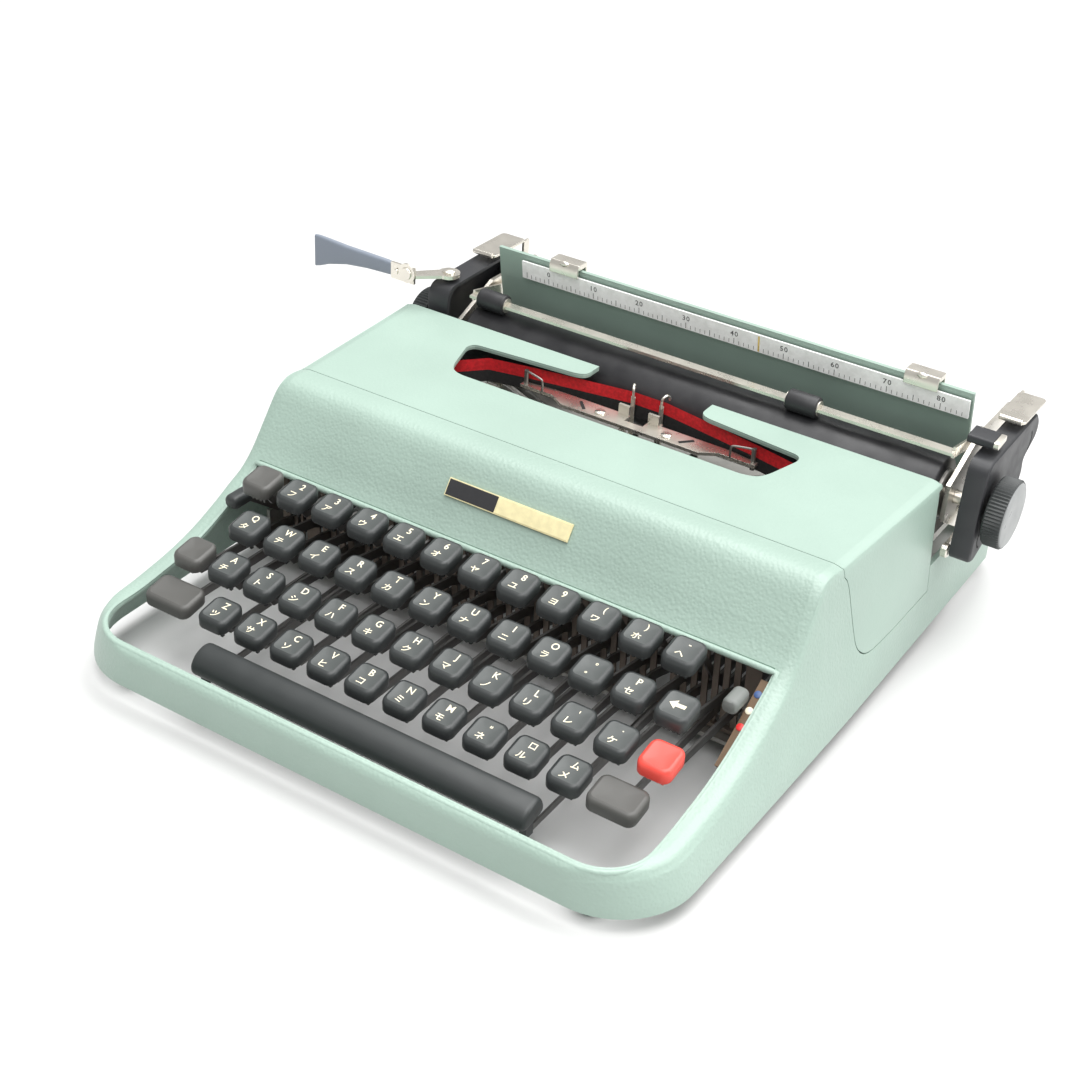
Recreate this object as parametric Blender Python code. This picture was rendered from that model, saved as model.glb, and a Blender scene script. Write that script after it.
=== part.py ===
"""A portable typewriter, modelled in metres, +Z up, resting on z = 0 and centred on the origin.

X runs to the typist's right, Y runs away from the typist. Every object is one physical piece.
Lengths below are millimetres and are scaled by MM when the meshes are made.
"""

import math

import bmesh
import bpy
from mathutils import Matrix, Vector

MM = 0.001

# Where the middle of the keyboard's pivot line sits from the origin, which is the middle of the box
CENTRE = (14.8, -3.5, 0.0)

# Body
WALL = 2.2
BASE_Z = 8.0
FOOT_R = 6.0
FRONT_Y, REAR_Y = -161.0, 168.0
CORNER_R = 34.0
TOP_Z = 84.0
REAR_TOP_Z = 44.0
WELL_HALF, WELL_FRONT, WELL_REAR = 129.0, -156.5, -47.0

# Keyboard: (y, z) of the key tops of each row, and x of the first key of the row
PITCH = 19.0
LEVER_STEP = PITCH / 4.0
ROW_1 = (-67.7, 63.6, -90.25)
ROW_2 = (-88.0, 54.0, -99.75)
ROW_3 = (-106.8, 44.7, -95.0)
ROW_4 = (-123.6, 34.6, -85.5)
COLUMNS = 11
CAP_SIZE, CAP_HEIGHT = 15.2, 6.0
LEVER_Z, LEVER_DEEP, LEVER_THICK = 20.0, 5.0, 1.2
PIVOT_Y, PIVOT_R = 40.0, 2.0
COMB_Y = -40.0

# Type basket
PRINT_Y = 77.5
TYPE_PIVOT_Y, TYPE_PIVOT_Z = 55.0, 30.0
TYPE_COUNT = 44
FAN_ANGLE = 86.0

# Carriage
PLATEN_Y, PLATEN_Z, PLATEN_R = 94.0, 70.5, 16.0
PLATEN_X0, PLATEN_X1 = -109.0, 137.0
END_X0, END_X1 = -115.0, 143.0
PLATE_T = 2.0
KNOB_R = 15.7
BAIL_Y, BAIL_Z = 92.0, 91.7
BAIL_PIVOT_Y, BAIL_PIVOT_Z = 120.0, 86.0


def clear_scene():
    for obj in list(bpy.data.objects):
        bpy.data.objects.remove(obj, do_unlink=True)


def material(name, colour, roughness, metallic=0.0):
    made = bpy.data.materials.new(name)
    made.use_nodes = True
    made.diffuse_color = (*colour, 1.0)
    shader = made.node_tree.nodes["Principled BSDF"]
    shader.inputs["Base Color"].default_value = (*colour, 1.0)
    shader.inputs["Roughness"].default_value = roughness
    shader.inputs["Metallic"].default_value = metallic
    return made


def solid_object(name, bm):
    """A scene object from a bmesh whose points are in millimetres."""
    bmesh.ops.recalc_face_normals(bm, faces=bm.faces)
    bmesh.ops.translate(bm, vec=CENTRE, verts=bm.verts)
    bmesh.ops.scale(bm, vec=(MM, MM, MM), verts=bm.verts)
    mesh = bpy.data.meshes.new(name)
    bm.to_mesh(mesh)
    bm.free()
    obj = bpy.data.objects.new(name, mesh)
    bpy.context.scene.collection.objects.link(obj)
    return obj


def box(x0, x1, y0, y1, z0, z1):
    bm = bmesh.new()
    centre = Vector(((x0 + x1) / 2, (y0 + y1) / 2, (z0 + z1) / 2))
    size = Matrix.Diagonal((x1 - x0, y1 - y0, z1 - z0, 1.0))
    bmesh.ops.create_cube(bm, size=1.0, matrix=Matrix.Translation(centre) @ size)
    return bm


def prism(points, axis, a, b):
    """Extrudes a closed polygon from a to b along axis. Points are (y, z), (x, z) or (x, y)."""
    bm = bmesh.new()

    def place(p, t):
        return {"x": (t, p[0], p[1]), "y": (p[0], t, p[1]), "z": (p[0], p[1], t)}[axis]

    first = [bm.verts.new(place(p, a)) for p in points]
    last = [bm.verts.new(place(p, b)) for p in points]
    bm.faces.new(first)
    bm.faces.new(last)
    count = len(points)
    for i in range(count):
        j = (i + 1) % count
        bm.faces.new((first[i], first[j], last[j], last[i]))
    return bm


def circle(radius, sides, cx=0.0, cy=0.0, start=0.0, end=360.0):
    """Points round a circle, or round an arc when end - start is under 360 degrees."""
    whole = end - start >= 360.0
    steps = sides if whole else sides - 1
    found = []
    for i in range(sides):
        angle = math.radians(start + (end - start) * i / steps)
        found.append((cx + radius * math.cos(angle), cy + radius * math.sin(angle)))
    return found


def rod(axis, radius, a, b, c0, c1, sides=20):
    return prism(circle(radius, sides, c0, c1), axis, a, b)


def rounded_rect(x0, x1, y0, y1, radius, steps=3):
    found = []
    corners = ((x1, y1, 0), (x0, y1, 90), (x0, y0, 180), (x1, y0, 270))
    for x, y, start in corners:
        cx = x - radius if x == x1 else x + radius
        cy = y - radius if y == y1 else y + radius
        found += circle(radius, steps + 1, cx, cy, start, start + 90)
    return found


def beam(start, end, wide, deep):
    """A bar with a rectangular section between two points; wide lies level, across the bar."""
    a, b = Vector(start), Vector(end)
    along = (b - a).normalized()
    side = along.cross(Vector((0, 0, 1)))
    if side.length < 1e-6:
        side = Vector((1, 0, 0))
    side.normalize()
    up = side.cross(along)
    bm = bmesh.new()
    rings = []
    for centre in (a, b):
        ring = []
        for s, u in ((-1, -1), (1, -1), (1, 1), (-1, 1)):
            ring.append(bm.verts.new(centre + side * s * wide / 2 + up * u * deep / 2))
        rings.append(ring)
    bm.faces.new(rings[0])
    bm.faces.new(rings[1])
    for i in range(4):
        j = (i + 1) % 4
        bm.faces.new((rings[0][i], rings[0][j], rings[1][j], rings[1][i]))
    return bm


def build(name, finish, parts, cuts=(), origin=None, smooth=None):
    """Unites the parts, takes the cuts away and leaves one object with its origin where asked."""
    base = solid_object(name, parts[0])
    helpers = []
    for kind, shapes in (("UNION", parts[1:]), ("DIFFERENCE", cuts)):
        for shape in shapes:
            helper = solid_object("helper", shape)
            helper.hide_render = True
            helper.display_type = "WIRE"
            helpers.append(helper)
            change = base.modifiers.new("boolean", "BOOLEAN")
            change.operation = kind
            change.solver = "EXACT"
            change.object = helper
    if helpers:
        graph = bpy.context.evaluated_depsgraph_get()
        mesh = bpy.data.meshes.new_from_object(base.evaluated_get(graph))
        base.modifiers.clear()
        base.data = mesh
        for helper in helpers:
            bpy.data.objects.remove(helper, do_unlink=True)
    base.data.name = name
    base.data.materials.clear()
    base.data.materials.append(finish)
    if origin is not None:
        shift = (Vector(origin) + Vector(CENTRE)) * MM
        base.data.transform(Matrix.Translation(-shift))
        base.location = shift
    if smooth is not None:
        base.data.shade_smooth()
        base.data.set_sharp_from_angle(angle=math.radians(smooth))
    return base


def between(pairs, y):
    """Straight-line interpolation through (y, value) pairs."""
    if y <= pairs[0][0]:
        return pairs[0][1]
    for (y0, v0), (y1, v1) in zip(pairs, pairs[1:]):
        if y <= y1:
            return v0 + (v1 - v0) * (y - y0) / (y1 - y0)
    return pairs[-1][1]


TOP_LINE = (
    (-161.0, 24.5), (-158.0, 27.0), (-125.0, 27.5), (-100.0, 31.0), (-84.0, 35.5), (-68.0, 42.5),
    (-56.0, 49.0), (-47.0, 54.0), (-27.0, 82.5), (-22.0, 85.5), (-16.0, 85.7), (-9.0, 84.5),
    (60.0, 84.0), (79.0, 84.0), (168.0, 84.0),
)
CREASE_LINE = (
    (-161.0, 137.0), (-100.0, 138.0), (-60.0, 137.5), (-23.0, 135.0), (79.0, 141.0), (168.0, 141.0),
)
BASE_LINE = ((-161.0, 142.5), (-60.0, 144.5), (0.0, 145.5), (168.0, 145.5))


def corner_inset(y, front, rear):
    """How far the plan outline comes in at y, for the rounded front and rear corners."""
    inset = 0.0
    for distance, radius in ((y - front, CORNER_R), (rear - y, 14.0)):
        if distance < radius:
            inset = max(inset, radius - math.sqrt(max(radius**2 - (radius - distance) ** 2, 0.0)))
    return inset


def section(y, gap):
    """The body's cross-section at y, from the left base over the top to the right base."""
    inset = corner_inset(y, FRONT_Y + gap, REAR_Y - gap) + gap
    top = between(TOP_LINE, y) - gap
    crease = between(CREASE_LINE, y)
    base = between(BASE_LINE, y)
    half = []
    half.append((base - inset, BASE_Z))
    rise = top - BASE_Z
    half.append((base - 0.15 * (base - crease) - inset, BASE_Z + 0.25 * rise))
    half.append((crease + 0.34 * (base - crease) - inset, BASE_Z + 0.72 * rise))
    half.append((crease + 0.6 - inset, top - 3.0))
    half.append((crease - 1.2 - inset, top - 0.9))
    half.append((crease - 4.5 - inset, top))
    left = [(-x, z) for x, z in half]
    return left + half[::-1]


def hull():
    """The thin, open-bottomed shell that the body and its cover are both cut from."""
    stations = [-161, -160, -158, -154, -149, -143, -137, -125, -112, -100, -92, -84, -76, -68]
    stations += [-62, -56, -47, -37, -27, -24, -22, -16, -9, 60, 79, 154, 160, 165, 167, 168]
    bm = bmesh.new()
    skins = []
    for gap in (0.0, WALL):
        front, rear = FRONT_Y + gap, REAR_Y - gap
        span = (rear - front) / (REAR_Y - FRONT_Y)
        rings = []
        for station in stations:
            y = front + (station - FRONT_Y) * span
            rings.append([bm.verts.new((x, y, z)) for x, z in section(y, gap)])
        skins.append(rings)
    count = len(skins[0][0])
    for rings in skins:
        for near, far in zip(rings, rings[1:]):
            for i in range(count - 1):
                bm.faces.new((near[i], near[i + 1], far[i + 1], far[i]))
        bm.faces.new(rings[0])
        bm.faces.new(rings[-1])
    outer, inner = skins
    for end in (0, count - 1):
        for k in range(len(outer) - 1):
            bm.faces.new((outer[k][end], outer[k + 1][end], inner[k + 1][end], inner[k][end]))
    for ring in (0, len(outer) - 1):
        bm.faces.new((outer[ring][0], outer[ring][-1], inner[ring][-1], inner[ring][0]))
    return bm


SEAM = (
    (-9.0, 80.0), (-5.5, 74.0), (-0.5, 52.0), (3.0, 42.0),
    (10.0, 35.0), (20.0, 32.0), (38.0, 31.0), (76.0, 31.0),
)


def above_body():
    """The side-view region (y, z) cut away from the body: the cover's place and the carriage's."""
    return [(-9.0, 130.0), *SEAM, (76.0, REAR_TOP_Z), (200.0, REAR_TOP_Z), (200.0, 130.0)]


def outside_cover(gap=0.4):
    """Everything in side view that isn't the lift-off cover, with a gap all along the seam."""
    edge = [(y + gap * (0.2 if y > 15 else 1.0), z + gap * (1.0 if y > 5 else 0.3)) for y, z in SEAM[:-1]]
    edge += [(75.6, 31.0 + gap), (75.6, 80.8), (78.6, 81.2)]
    around = [(78.6, 130.0), (200.0, 130.0), (200.0, -50.0), (-200.0, -50.0), (-200.0, 130.0)]
    return [(-9.0 + gap, 130.0), *edge, *around]


def well_outline(grow=0.0):
    front = circle(20.0 + grow, 5, -WELL_HALF + 20.0, WELL_FRONT + 20.0, 180, 270)
    front += circle(20.0 + grow, 5, WELL_HALF - 20.0, WELL_FRONT + 20.0, 270, 360)
    return front + [(WELL_HALF + grow, WELL_REAR), (-WELL_HALF - grow, WELL_REAR)]


def window_outline():
    return [
        (-76, 31.0), (70, 31.0), (76, 33.0), (79, 38.0), (84, 57.0), (82, 61.0), (34, 66.0),
        (30, 68.5), (30, 95.0), (-30, 95.0), (-30, 68.5), (-34, 66.0), (-88, 61.0), (-90, 57.0),
        (-84, 38.0), (-81, 33.0),
    ]


def make_body(enamel, plate_finish, name_finish, rubber):
    tabs = []
    for side in (-1, 1):
        for near, reach, y0, y1 in ((106.0, 118.0, -159.4, -140.8), (118.0, 143.8, 128.0, 153.0)):
            inner, outer = sorted((side * near, side * reach))
            tabs.append(box(inner, outer, y0, y1, BASE_Z + 0.3, BASE_Z + 2.1))
    build(
        "body_shell", enamel, [hull()] + tabs,
        [prism(above_body(), "x", -170, 170), prism(well_outline(), "z", 12.0, 60.0)],
        smooth=35,
    )
    build(
        "top_cover", enamel, [hull()],
        [prism(window_outline(), "z", 60, 120), prism(outside_cover(), "x", -170, 170)],
        origin=(0, 35, TOP_Z), smooth=35,
    )
    slope = Vector((0, 20.0, 28.5)).normalized()
    out = Vector((0, -28.5, 20.0)).normalized()
    base = Vector((0, -37.4, 67.7)) + out * 0.35
    bm = bmesh.new()
    corners = []
    for depth in (0.0, 0.9):
        for x, up in ((-34.5, 0.0), (27.5, 0.0), (27.5, 8.0), (-34.5, 8.0)):
            corners.append(bm.verts.new(base + out * depth + slope * up + Vector((x, 0, 0))))
    bm.faces.new(corners[:4])
    bm.faces.new(corners[4:])
    for i in range(4):
        j = (i + 1) % 4
        bm.faces.new((corners[i], corners[j], corners[4 + j], corners[4 + i]))
    build("nameplate", name_finish, [bm])
    for name, x, y in (
        ("foot_front_left", -112, -147), ("foot_front_right", 112, -147),
        ("foot_rear_left", -129, 143), ("foot_rear_right", 129, 143),
    ):
        build(name, rubber, [rod("z", FOOT_R, 0.0, BASE_Z - 0.3, x, y)], smooth=35)


def make_chassis(steel, comb_finish, bright):
    parts = [
        box(-129.0, -127.0, -44.0, 150.0, 10.6, 28.0), box(127.0, 129.0, -44.0, 150.0, 10.6, 28.0),
        box(-128.0, 128.0, -46.0, -32.0, 8.4, 10.3), box(-128.0, -123.0, -44.0, -34.0, 9.0, 20.0),
        box(123.0, 128.0, -44.0, -34.0, 9.0, 20.0), box(-128.0, 128.0, 60.0, 62.0, 9.0, 13.4),
        box(-128.0, 128.0, 148.0, 150.0, 12.0, 28.0),
        box(-118.0, -110.0, 117.0, 131.0, 26.0, 43.0), box(110.0, 118.0, 117.0, 131.0, 26.0, 43.0),
        box(-128.0, 128.0, 118.0, 130.0, 24.0, 27.0),
        box(-18.0, -14.5, 90.6, 94.4, 12.0, 46.0), box(14.5, 18.0, 90.6, 94.4, 12.0, 46.0),
        box(-18.0, -14.5, 94.0, 119.0, 24.0, 27.0), box(14.5, 18.0, 94.0, 119.0, 24.0, 27.0),
    ]
    holes = [rod("x", PIVOT_R + 0.3, -130, 130, PIVOT_Y, LEVER_Z)]
    build("chassis_frame", steel, parts, holes)
    build("key_pivot_rod", bright, [rod("x", PIVOT_R, -131.5, 131.5, PIVOT_Y, LEVER_Z)], smooth=35)
    outline = [(-122.0, 10.7), (-122.0, 50.0), (122.0, 50.0), (122.0, 10.7)]
    slots = [-116.4, -112.6, -109.25] + [-99.75 + LEVER_STEP * i for i in range(46)]
    slots += [-78.375, 78.375]
    slots = sorted(slots, reverse=True)
    teeth = []
    for x, top in merged_slots(slots, 1.1):
        teeth += [(top, 10.7), (top, 24.5), (x, 24.5), (x, 10.7)]
    build("key_comb", comb_finish, [prism(outline + teeth, "y", COMB_Y - 0.8, COMB_Y + 0.8)])
    build("carriage_rail", bright, [box(-126.0, 126.0, 119.0, 129.0, 43.3, 48.0)])


def merged_slots(centres, half):
    """Spans (low, high) of the comb's slots from the right, joined where two nearly meet."""
    spans = []
    for x in centres:
        low, high = x - half, x + half
        if spans and spans[-1][0] - high < 0.5:
            spans[-1] = (low, spans[-1][1])
        else:
            spans.append((low, high))
    return spans


def cap(x, y, z, wide=CAP_SIZE, deep=CAP_SIZE, high=CAP_HEIGHT, radius=3.4):
    """A key top: a rounded block with a chamfered rim and a face that slopes with the rows."""
    bm = bmesh.new()
    rings = []
    for shrink, level in ((0.0, -high), (0.0, -1.6), (1.1, 0.0)):
        ring = []
        x0, x1 = -wide / 2 + shrink, wide / 2 - shrink
        y0, y1 = -deep / 2 + shrink, deep / 2 - shrink
        for px, py in rounded_rect(x0, x1, y0, y1, radius - shrink, 2):
            ring.append(bm.verts.new((x + px, y + py, z + level + 0.18 * py)))
        rings.append(ring)
    bm.faces.new(rings[0])
    bm.faces.new(rings[-1])
    count = len(rings[0])
    for low, high_ring in zip(rings, rings[1:]):
        for i in range(count):
            j = (i + 1) % count
            bm.faces.new((low[i], low[j], high_ring[j], high_ring[i]))
    return bm


def key_parts(x, y, z, lever_x=None, **size):
    """One key: cap, stem and the lever running back to the pivot."""
    lever_x = x if lever_x is None else lever_x
    low = LEVER_Z - LEVER_DEEP / 2
    parts = [cap(x, y, z, **size)]
    parts.append(box(lever_x - 1.3, lever_x + 1.3, y - 2.5, y + 3.5, low, z - 3.0))
    parts.append(
        box(lever_x - LEVER_THICK / 2, lever_x + LEVER_THICK / 2, y, PIVOT_Y - 3.0, low, low + LEVER_DEEP)
    )
    return parts


def hub(x0, x1):
    return rod("x", 4.0, x0, x1, PIVOT_Y, LEVER_Z, 16)


def hub_hole():
    return rod("x", PIVOT_R + 0.3, -140, 140, PIVOT_Y, LEVER_Z, 16)


def make_keys(charcoal, taupe, red):
    for k in range(COLUMNS):
        parts = [hub(-101.0 + PITCH * k, -84.3 + PITCH * k if k < 10 else -89.0 + PITCH * k)]
        for y, z, first in (ROW_1, ROW_2, ROW_3, ROW_4):
            if (y, z, first) == ROW_4 and k == COLUMNS - 1:
                continue
            parts += key_parts(first + PITCH * k, y, z)
        build(
            f"key_column_{k + 1:02d}", charcoal, parts, [hub_hole()],
            origin=(-92.6 + PITCH * k, PIVOT_Y, LEVER_Z),
        )
    specials = (
        ("margin_release_key", -109.25, ROW_1[0], ROW_1[1], -109.25, taupe, {}),
        ("backspace_key", 109.25, ROW_2[0], ROW_2[1], 109.25, charcoal, {}),
        ("shift_lock_key", -114.0, ROW_3[0], ROW_3[1], -116.4, taupe, {}),
        ("tab_key", 114.0, ROW_3[0], ROW_3[1], 114.0, red, {}),
        ("shift_key_left", -110.5, ROW_4[0], ROW_4[1] - 1.0, -112.6, taupe, {"wide": 24.0}),
        ("shift_key_right", 106.5, ROW_4[0], ROW_4[1] - 1.0, 104.5, taupe, {"wide": 22.0}),
    )
    for name, x, y, z, lever_x, finish, size in specials:
        parts = [hub(lever_x - 1.4, lever_x + 1.4)] + key_parts(x, y, z, lever_x, **size)
        if abs(x - lever_x) > 1.9:
            parts.append(box(min(x, lever_x) - 1, max(x, lever_x) + 1, y - 2.5, y + 3.5, z - 8.0, z - 4.5))
        build(name, finish, parts, [hub_hole()], origin=(lever_x, PIVOT_Y, LEVER_Z))


def make_space_bar(charcoal):
    """The bar and its two arms, which turn on the frame just inside the last key levers."""
    bar = [
        (-147.7, 17.5), (-133.2, 19.5), (-132.8, 23.0), (-135.2, 27.2), (-138.7, 28.0),
        (-144.2, 26.4), (-148.0, 22.0),
    ]
    parts = [prism(bar, "x", -81.5, 81.5)]
    for x in (-78.375, 78.375):
        parts.append(box(x - 0.5, x + 0.5, -142.0, -44.0, 10.7, 13.7))
        parts.append(box(x - 1.5, x + 1.5, -143.0, -138.0, 11.0, 22.0))
    build("space_bar", charcoal, parts, origin=(0, -46.0, 12.2))


def make_front_controls(charcoal, grey, bright, brown):
    pin = rod("x", 1.5, 122.3, 126.4, -40.0, 30.0, 10)
    arm = beam((124.2, -40.0, 30.0), (124.2, -62.0, 46.0), 1.2, 5.0)
    grip = box(118.5, 125.2, -70.0, -58.5, 44.0, 50.5)
    build("ribbon_color_lever", grey, [arm, pin, grip], origin=(124.2, -40.0, 30.0))
    pin = rod("x", 1.5, -126.4, -122.3, -40.0, 30.0, 10)
    arm = beam((-124.2, -40.0, 30.0), (-124.2, -64.0, 48.0), 1.2, 5.0)
    grip = box(-127.0, -119.5, -74.0, -62.0, 45.5, 50.5)
    build("tab_set_lever", charcoal, [arm, pin, grip], origin=(-124.2, -40.0, 30.0))
    plate = beam((127.1, -84.0, 30.0), (127.1, -50.0, 50.0), 3.5, 0.8)
    build("color_dot_plate", brown, [plate])


def polar(radius, degrees):
    """A point (x, y) round the print point; 0 degrees lies towards the typist."""
    angle = math.radians(degrees)
    return radius * math.sin(angle), PRINT_Y - radius * math.cos(angle)


def sector(inner, outer, start, end, steps):
    found = [polar(outer, start + (end - start) * i / steps) for i in range(steps + 1)]
    found += [polar(inner, end + (start - end) * i / steps) for i in range(steps + 1)]
    return found


def slug_height(degrees):
    return 40.0 + 27.0 * (abs(degrees) / FAN_ANGLE) ** 2


def make_basket(steel, bright, dark):
    """The segment rides up and down on its slide and carries the typebars."""
    parts = [
        prism(sector(15.0, 31.0, -96.0, 96.0, 20), "z", 21.0, 27.0),
        box(-7.0, 7.0, 84.0, 91.0, 21.0, 27.0),
        box(-13.0, 13.0, 91.0, 94.0, 21.0, 44.0),
    ]
    cuts = [box(-4.0, 4.0, 30.0, 58.8, 15.0, 40.0)]
    parts.append(box(-7.0, 7.0, 56.0, 93.0, 21.0, 24.0))
    for x in (-6.2, 4.2):
        parts.append(box(x, x + 2.0, 51.0, 60.0, 24.0, 33.0))
    cuts.append(rod("x", 1.4, -10, 10, TYPE_PIVOT_Y, TYPE_PIVOT_Z, 12))
    build("type_segment", steel, parts, cuts, origin=(0, TYPE_PIVOT_Y, 24.0))
    step = 2 * FAN_ANGLE / TYPE_COUNT
    for name, side in (("typebar_fan_left", -1), ("typebar_fan_right", 1)):
        ring = [prism(sector(22.0, 30.0, side * 17.0, side * 90.0, 10), "z", 27.3, 32.0)]
        for i in range(TYPE_COUNT // 2 - 4):
            angle = side * (FAN_ANGLE - step * i)
            top = slug_height(angle)
            reach = 72.0 + 8.0 * abs(angle) / FAN_ANGLE
            start = (*polar(26.0, angle), 30.5)
            end = (*polar(reach, angle), top)
            ring.append(beam(start, end, 1.1, 3.0))
            tip = (*polar(reach - 3.5, angle), top + 0.6)
            far = (*polar(reach + 3.5, angle), top + 1.4)
            ring.append(beam(tip, far, 2.4, 5.6))
        build(name, dark, ring)
    bar = [
        rod("x", 3.0, -1.1, 1.1, TYPE_PIVOT_Y, TYPE_PIVOT_Z, 14),
        rod("x", 1.1, -5.8, 5.8, TYPE_PIVOT_Y, TYPE_PIVOT_Z, 12),
        beam((0, TYPE_PIVOT_Y, TYPE_PIVOT_Z), (0, 9.0, 38.5), 1.2, 3.6),
        beam((0, 10.5, 38.2), (0, 5.5, 39.2), 2.6, 7.0),
    ]
    build("working_typebar", bright, bar, origin=(0, TYPE_PIVOT_Y, TYPE_PIVOT_Z))
    guide = [(-36.0, 56.0), (36.0, 56.0), (44.0, 61.2), (62.0, 61.2), (62.0, 64.6), (46.0, 66.6)]
    guide += [(-46.0, 66.6), (-62.0, 64.6), (-62.0, 61.2), (-44.0, 61.2)]
    parts = [prism(guide, "z", 70.0, 71.6), box(-11.0, 11.0, 62.3, 69.4, 11.0, 13.6)]
    parts.append(box(-11.0, 11.0, 65.0, 69.4, 70.4, 74.0))
    for side in (-1, 1):
        inner, outer = sorted((side * 8.0, side * 11.0))
        parts.append(box(inner, outer, 67.6, 69.4, 11.5, 71.0))
        parts.append(rod("z", 1.2, 71.0, 80.8, side * 60.0, 63.3, 10))
        parts.append(rod("z", 1.2, 68.0, 70.8, side * 60.0, 63.3, 10))
    build("type_guide", bright, parts, [box(-4.6, 4.6, 40.0, 80.0, 60.0, 80.0)])
    fork = [
        box(-9.0, -6.0, 72.6, 73.4, 52.0, 83.0), box(6.0, 9.0, 72.6, 73.4, 52.0, 83.0),
        box(-9.0, 9.0, 72.6, 73.4, 48.0, 53.0),
        box(-9.0, -6.0, 72.6, 76.8, 79.6, 80.6), box(6.0, 9.0, 72.6, 76.8, 79.6, 80.6),
    ]
    build("ribbon_vibrator", bright, fork, origin=(0, 73.0, 60.0))


def make_ribbon(dark, cloth):
    for name, x in (("ribbon_spool_left", -110.0), ("ribbon_spool_right", 110.0)):
        parts = [
            rod("z", 20.0, 65.8, 66.8, x, 28.0, 28), rod("z", 20.0, 79.7, 80.7, x, 28.0, 28),
            rod("z", 13.0, 66.0, 80.0, x, 28.0, 20), rod("z", 3.0, 52.0, 66.0, x, 28.0, 14),
        ]
        cuts = [rod("z", 2.0, 60, 90, x, 28.0, 12)]
        build(name, dark, parts, cuts, origin=(x, 28.0, 69.0), smooth=35)
    half = [(9.0, 74.6), (60.0, 65.5), (80.0, 61.0), (93.0, 46.5)]
    path = [(-x, y) for x, y in reversed(half)] + half
    back = [(x, y + 0.35) for x, y in reversed(path)]
    build("ribbon", cloth, [prism(path + back, "z", 67.2, 79.3)])


def cover_outline():
    return [
        (80.3, 50.0), (84.0, 46.5), (130.0, 63.0), (134.0, 70.0), (132.0, 78.0), (145.0, 85.0),
        (146.0, 91.0), (141.0, 97.0), (86.0, 95.5), (82.5, 92.0),
    ]


def shrunk(points, factor, cy, cz):
    return [(cy + (y - cy) * factor, cz + (z - cz) * factor) for y, z in points]


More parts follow.
